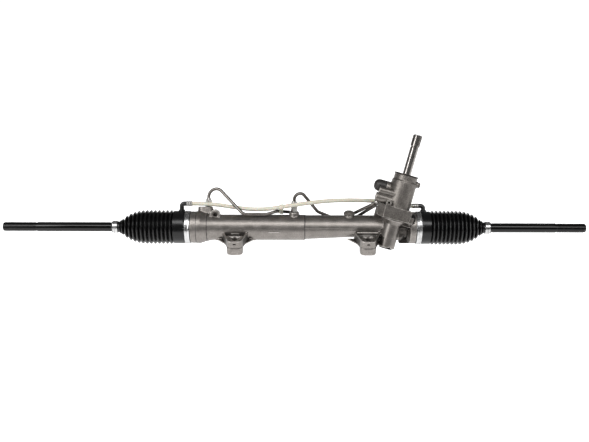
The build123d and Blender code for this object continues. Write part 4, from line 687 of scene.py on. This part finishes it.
# Tie rods: forged steel bars painted satin black, with flats for a wrench and rolled M16 threads.
# The paint is thin and even, so a long thin glint runs along the top of each rod.
ROD_THREAD_PITCH = 1.5
THREAD_RADIUS = 8.1
THREAD_RIDGE = 0.62
FLATS_HALF_WIDTH = 7.4
RODS = {"left": (-1, 565.0, 63.0, 25.0), "right": (1, 539.0, 55.0, 21.0)}
rod_paint = finish_for("satin black paint", "050505", "020202", (0.1, 0.16), 1.2, 0.006, 0.0, blotch=25.0)
rod_paint.node_tree.nodes["Principled BSDF"].inputs["Specular IOR Level"].default_value = 0.3
thread, thread_in, thread_out = new_tree("rolled thread", (
    ("Turns", "NodeSocketFloat"), ("Radius", "NodeSocketFloat"), ("Length", "NodeSocketFloat"),
    ("Ridge", "NodeSocketFloat"), ("Material", "NodeSocketMaterial"),
))
spiral = add_node(thread, "GeometryNodeCurveSpiral", {
    "Resolution": 32, "Rotations": thread_in["Turns"], "Start Radius": thread_in["Radius"],
    "End Radius": thread_in["Radius"], "Height": thread_in["Length"],
})
upright = add_node(thread, "GeometryNodeSetCurveNormal", {"Curve": spiral.outputs[0]})
upright.mode = "Z_UP"
ridge = add_node(thread, "GeometryNodeCurvePrimitiveCircle", {"Resolution": 4, "Radius": thread_in["Ridge"]})
wound = add_node(thread, "GeometryNodeCurveToMesh", {
    "Curve": upright.outputs[0], "Profile Curve": ridge.outputs["Curve"], "Fill Caps": True
})
solid_thread = add_node(thread, "GeometryNodeRealizeInstances", {"Geometry": wound.outputs[0]})
dressed_thread = add_node(thread, "GeometryNodeSetMaterial", {
    "Geometry": solid_thread.outputs[0], "Material": thread_in["Material"]
})
thread.links.new(dressed_thread.outputs[0], thread_out.inputs[0])
for side, (sign, tip, thread_length, flats_length) in RODS.items():
    start = tip - thread_length
    flats_end = start - 5.0
    flats_start = flats_end - flats_length + 6.0
    ball = [(-12.5, 0.0), (-10.8, 6.2), (-6.2, 10.8), (0, 12.5), (6.2, 10.8), (10.8, 6.2), (15, 6.2)]
    loop = [(BALL_X + x, radius) for x, radius in ball]
    loop += [(BALL_X + 24, ROD_RADIUS), (BOOT_END, ROD_RADIUS), (BOOT_END + 4, SHOWN_ROD_RADIUS)]
    # Each end of the flats has two rings, so that the shading breaks there.
    loop += [(end, SHOWN_ROD_RADIUS) for end in (flats_start, flats_start, flats_end, flats_end)]
    loop += [
        (start - 2.0, SHOWN_ROD_RADIUS), (start - 1.6, 7.9), (start, 7.9), (start + 0.4, 8.2),
        (tip - 1.2, 8.2), (tip, 7.2), (tip, 0.0),
    ]
    turned = [(sign * x, radius) for x, radius in loop]
    rod = turned_about_rack(f"{side}_rod_bar", turned, steps=64, angle=28)
    for vertex in rod.data.vertices:
        along = abs(vertex.co.x) / MM
        if flats_start - 0.01 < along < flats_end + 0.01:
            height = vertex.co.z - RACK_AXIS.z
            vertex.co.z = RACK_AXIS.z + max(-FLATS_HALF_WIDTH * MM, min(FLATS_HALF_WIDTH * MM, height))
    rod.data.materials.append(rod_paint)
    belongs(rod, f"{side}_rod", "rod_paint", f"{side}_tie_rod")
    rolled = thread_length - 4.0
    coil = grown(f"{side}_rod_thread", thread, {
        "Turns": rolled / ROD_THREAD_PITCH, "Radius": THREAD_RADIUS * MM, "Length": rolled * MM,
        "Ridge": THREAD_RIDGE * MM, "Material": rod_paint,
    })
    lying = Matrix.Translation(RACK_AXIS + Vector((sign * (start + 1.2) * MM, 0, 0)))
    coil.data.transform(lying @ Matrix.Rotation(math.radians(90 * sign), 4, "Y"))
    belongs(coil, f"{side}_rod", "rod_paint")

# Hose ends: crimped steel ferrules that hold the hose on the arms of the two elbows.
# Each has three bright rings with dark grooves between them.
FERRULE_LENGTH = 11.0
FERRULE_RADIUS = 4.7
FERRULE_BORE = 3.2
FERRULE_GROOVE = 0.7
for side, spot, sign in (("left", HOSE_ROUTE[0], -1), ("right", HOSE_ROUTE[-1], 1)):
    loop = [(0.0, FERRULE_BORE), (FERRULE_LENGTH, FERRULE_BORE)]
    for band in (2, 1, 0):
        low = band * FERRULE_LENGTH / 3
        loop += [(low + 3.6, FERRULE_RADIUS - FERRULE_GROOVE), (low + 3.0, FERRULE_RADIUS)]
        loop += [(low + 0.8, FERRULE_RADIUS), (low + 0.2, FERRULE_RADIUS - FERRULE_GROOVE)]
    turned = [(sign * x, radius) for x, radius in loop]
    ferrule = turned_about_rack(f"{side}_hose_ferrule", turned, steps=32)
    ferrule.data.transform(Matrix.Translation(seen_from_front(*spot) - RACK_AXIS))
    ferrule.data.materials.append(zinc)
    belongs(ferrule, "housing", "zinc_steel")

# Small cast marks on the tube: a raised ledge on its front and a grimy parting line along its top.
# Both are left from the mould and count as the tube's metal; the ledge is painted paler as a highlight, the
# parting line dark with seam dirt.
MARK_HALF_WIDTH = 0.7
TUBE_RADIUS = 24.2
for name, start, end, turn, height, finish, slot in (
    # The ledge takes the paler machined finish as a painted highlight.
    ("cast_ledge", -61.5, -42.5, 7.7, 1.4, machined_and_highlight_aluminium, "cast_aluminium"),
    ("parting_line", -128.0, -96.0, 68.3, 0.15, seam_grime, "cast_aluminium"),
):
    around = Matrix.Translation(RACK_AXIS) @ Matrix.Rotation(math.radians(90 - turn), 4, "X")
    strip = [
        (start, -MARK_HALF_WIDTH), (end, -MARK_HALF_WIDTH), (end, MARK_HALF_WIDTH), (start, MARK_HALF_WIDTH),
    ]
    bar = gathered(name, [solid_of(strip, TUBE_RADIUS - 1.0, TUBE_RADIUS + height, around)])
    bar.data.materials.append(finish)
    belongs(bar, "housing", slot)

# Adapter under the right pipe's nut: a zinc plated hexagon screwed into the short cone on the tube.
# It shows as a whitish collar between the cone and the pipe.
ADAPTER_RADIUS = 6.0
adapter = gathered("right_pipe_adapter", [solid_of(regular(6, ADAPTER_RADIUS), 30.0, 41.0, RIGHT_PORT)])
adapter.data.materials.append(zinc)
belongs(adapter, "housing", "zinc_steel")

# Floor, light and camera: a white studio table under soft boxes, seen as in the photograph.
# The table glows for the camera, gloss and clear parts, so that it is white and keeps its soft shadow.
VIEW_DISTANCE = 1.537
VIEW_CENTRE = Vector((-0.013, 0.048, 0.0374))
ELEVATION = math.radians(30)
HALF_WIDTH_ANGLE = math.radians(20)
ROLL = math.radians(0.16)
TABLE = 6.0
ROOM_FOR_RODS = 0.075
PAPER_GLOW = 0.84
SENSOR_WIDTH = 36
floor_low = cad_box[0][2] - ROOM_FOR_RODS
floor_mesh = bpy.data.meshes.new("table")
floor_corners = [(-TABLE, -TABLE), (TABLE, -TABLE), (TABLE, TABLE), (-TABLE, TABLE)]
floor_mesh.from_pydata([(x, y, floor_low) for x, y in floor_corners], [], [(0, 1, 2, 3)])
floor = bpy.data.objects.new("table", floor_mesh)
bpy.context.collection.objects.link(floor)
paper = bpy.data.materials.new("white paper")
paper.use_nodes = True
paper_shader = paper.node_tree.nodes["Principled BSDF"]
paper_shader.inputs["Base Color"].default_value = linear("f4f4f4")
paper_shader.inputs["Roughness"].default_value = 0.9
paper_shader.inputs["Emission Color"].default_value = linear("ffffff")
rays = add_node(paper.node_tree, "ShaderNodeLightPath").outputs
seen = add_node(paper.node_tree, "ShaderNodeMath", {
    0: rays["Is Camera Ray"], 1: rays["Is Glossy Ray"]
}, operation="MAXIMUM")
seen = add_node(paper.node_tree, "ShaderNodeMath", {
    0: seen.outputs[0], 1: rays["Is Transmission Ray"]
}, operation="MAXIMUM")
glow = add_node(paper.node_tree, "ShaderNodeMath", {
    0: seen.outputs[0], 1: PAPER_GLOW
}, operation="MULTIPLY")
paper.node_tree.links.new(glow.outputs[0], paper_shader.inputs["Emission Strength"])
floor.data.materials.append(paper)

world = bpy.data.worlds.new("studio")
bpy.context.scene.world = world
world.use_nodes = True
eye = add_node(world.node_tree, "ShaderNodeLightPath").outputs["Is Camera Ray"]
sky = mixed(world.node_tree, eye, linear("727272"), linear("ffffff"))
world.node_tree.links.new(sky, world.node_tree.nodes["Background"].inputs["Color"])
world.node_tree.nodes["Background"].inputs["Strength"].default_value = 1.0


def soft_box(name, at, towards, size, power):
    """A rectangular soft light at a place, facing another."""
    lamp = bpy.data.lights.new(name, "AREA")
    lamp.shape = "RECTANGLE"
    lamp.size, lamp.size_y = size
    lamp.energy = power
    obj = bpy.data.objects.new(name, lamp)
    bpy.context.collection.objects.link(obj)
    obj.location = at
    obj.rotation_euler = (Vector(towards) - Vector(at)).to_track_quat("-Z", "Y").to_euler()


soft_box("overhead", (-0.1, -0.6, 1.3), (0, 0.04, 0), (2.6, 0.45), 24)
soft_box("left_strip", (-1.2, -0.95, 0.95), (0.1, 0.04, 0.03), (0.5, 1.2), 12)
soft_box("right_strip", (1.5, -0.5, 0.9), (0.1, 0.04, 0.03), (0.3, 1.0), 4)

camera_data = bpy.data.cameras.new("camera")
camera_data.sensor_width = SENSOR_WIDTH
camera_data.lens = SENSOR_WIDTH / 2 / math.tan(HALF_WIDTH_ANGLE)
camera = bpy.data.objects.new("camera", camera_data)
bpy.context.collection.objects.link(camera)
camera.location = VIEW_CENTRE + VIEW_DISTANCE * Vector((0, -math.cos(ELEVATION), math.sin(ELEVATION)))
facing = Matrix.Rotation(math.radians(90) - ELEVATION, 3, "X") @ Matrix.Rotation(ROLL, 3, "Z")
camera.rotation_euler = facing.to_euler()
bpy.context.scene.camera = camera
bpy.context.scene.view_settings.view_transform = "Standard"
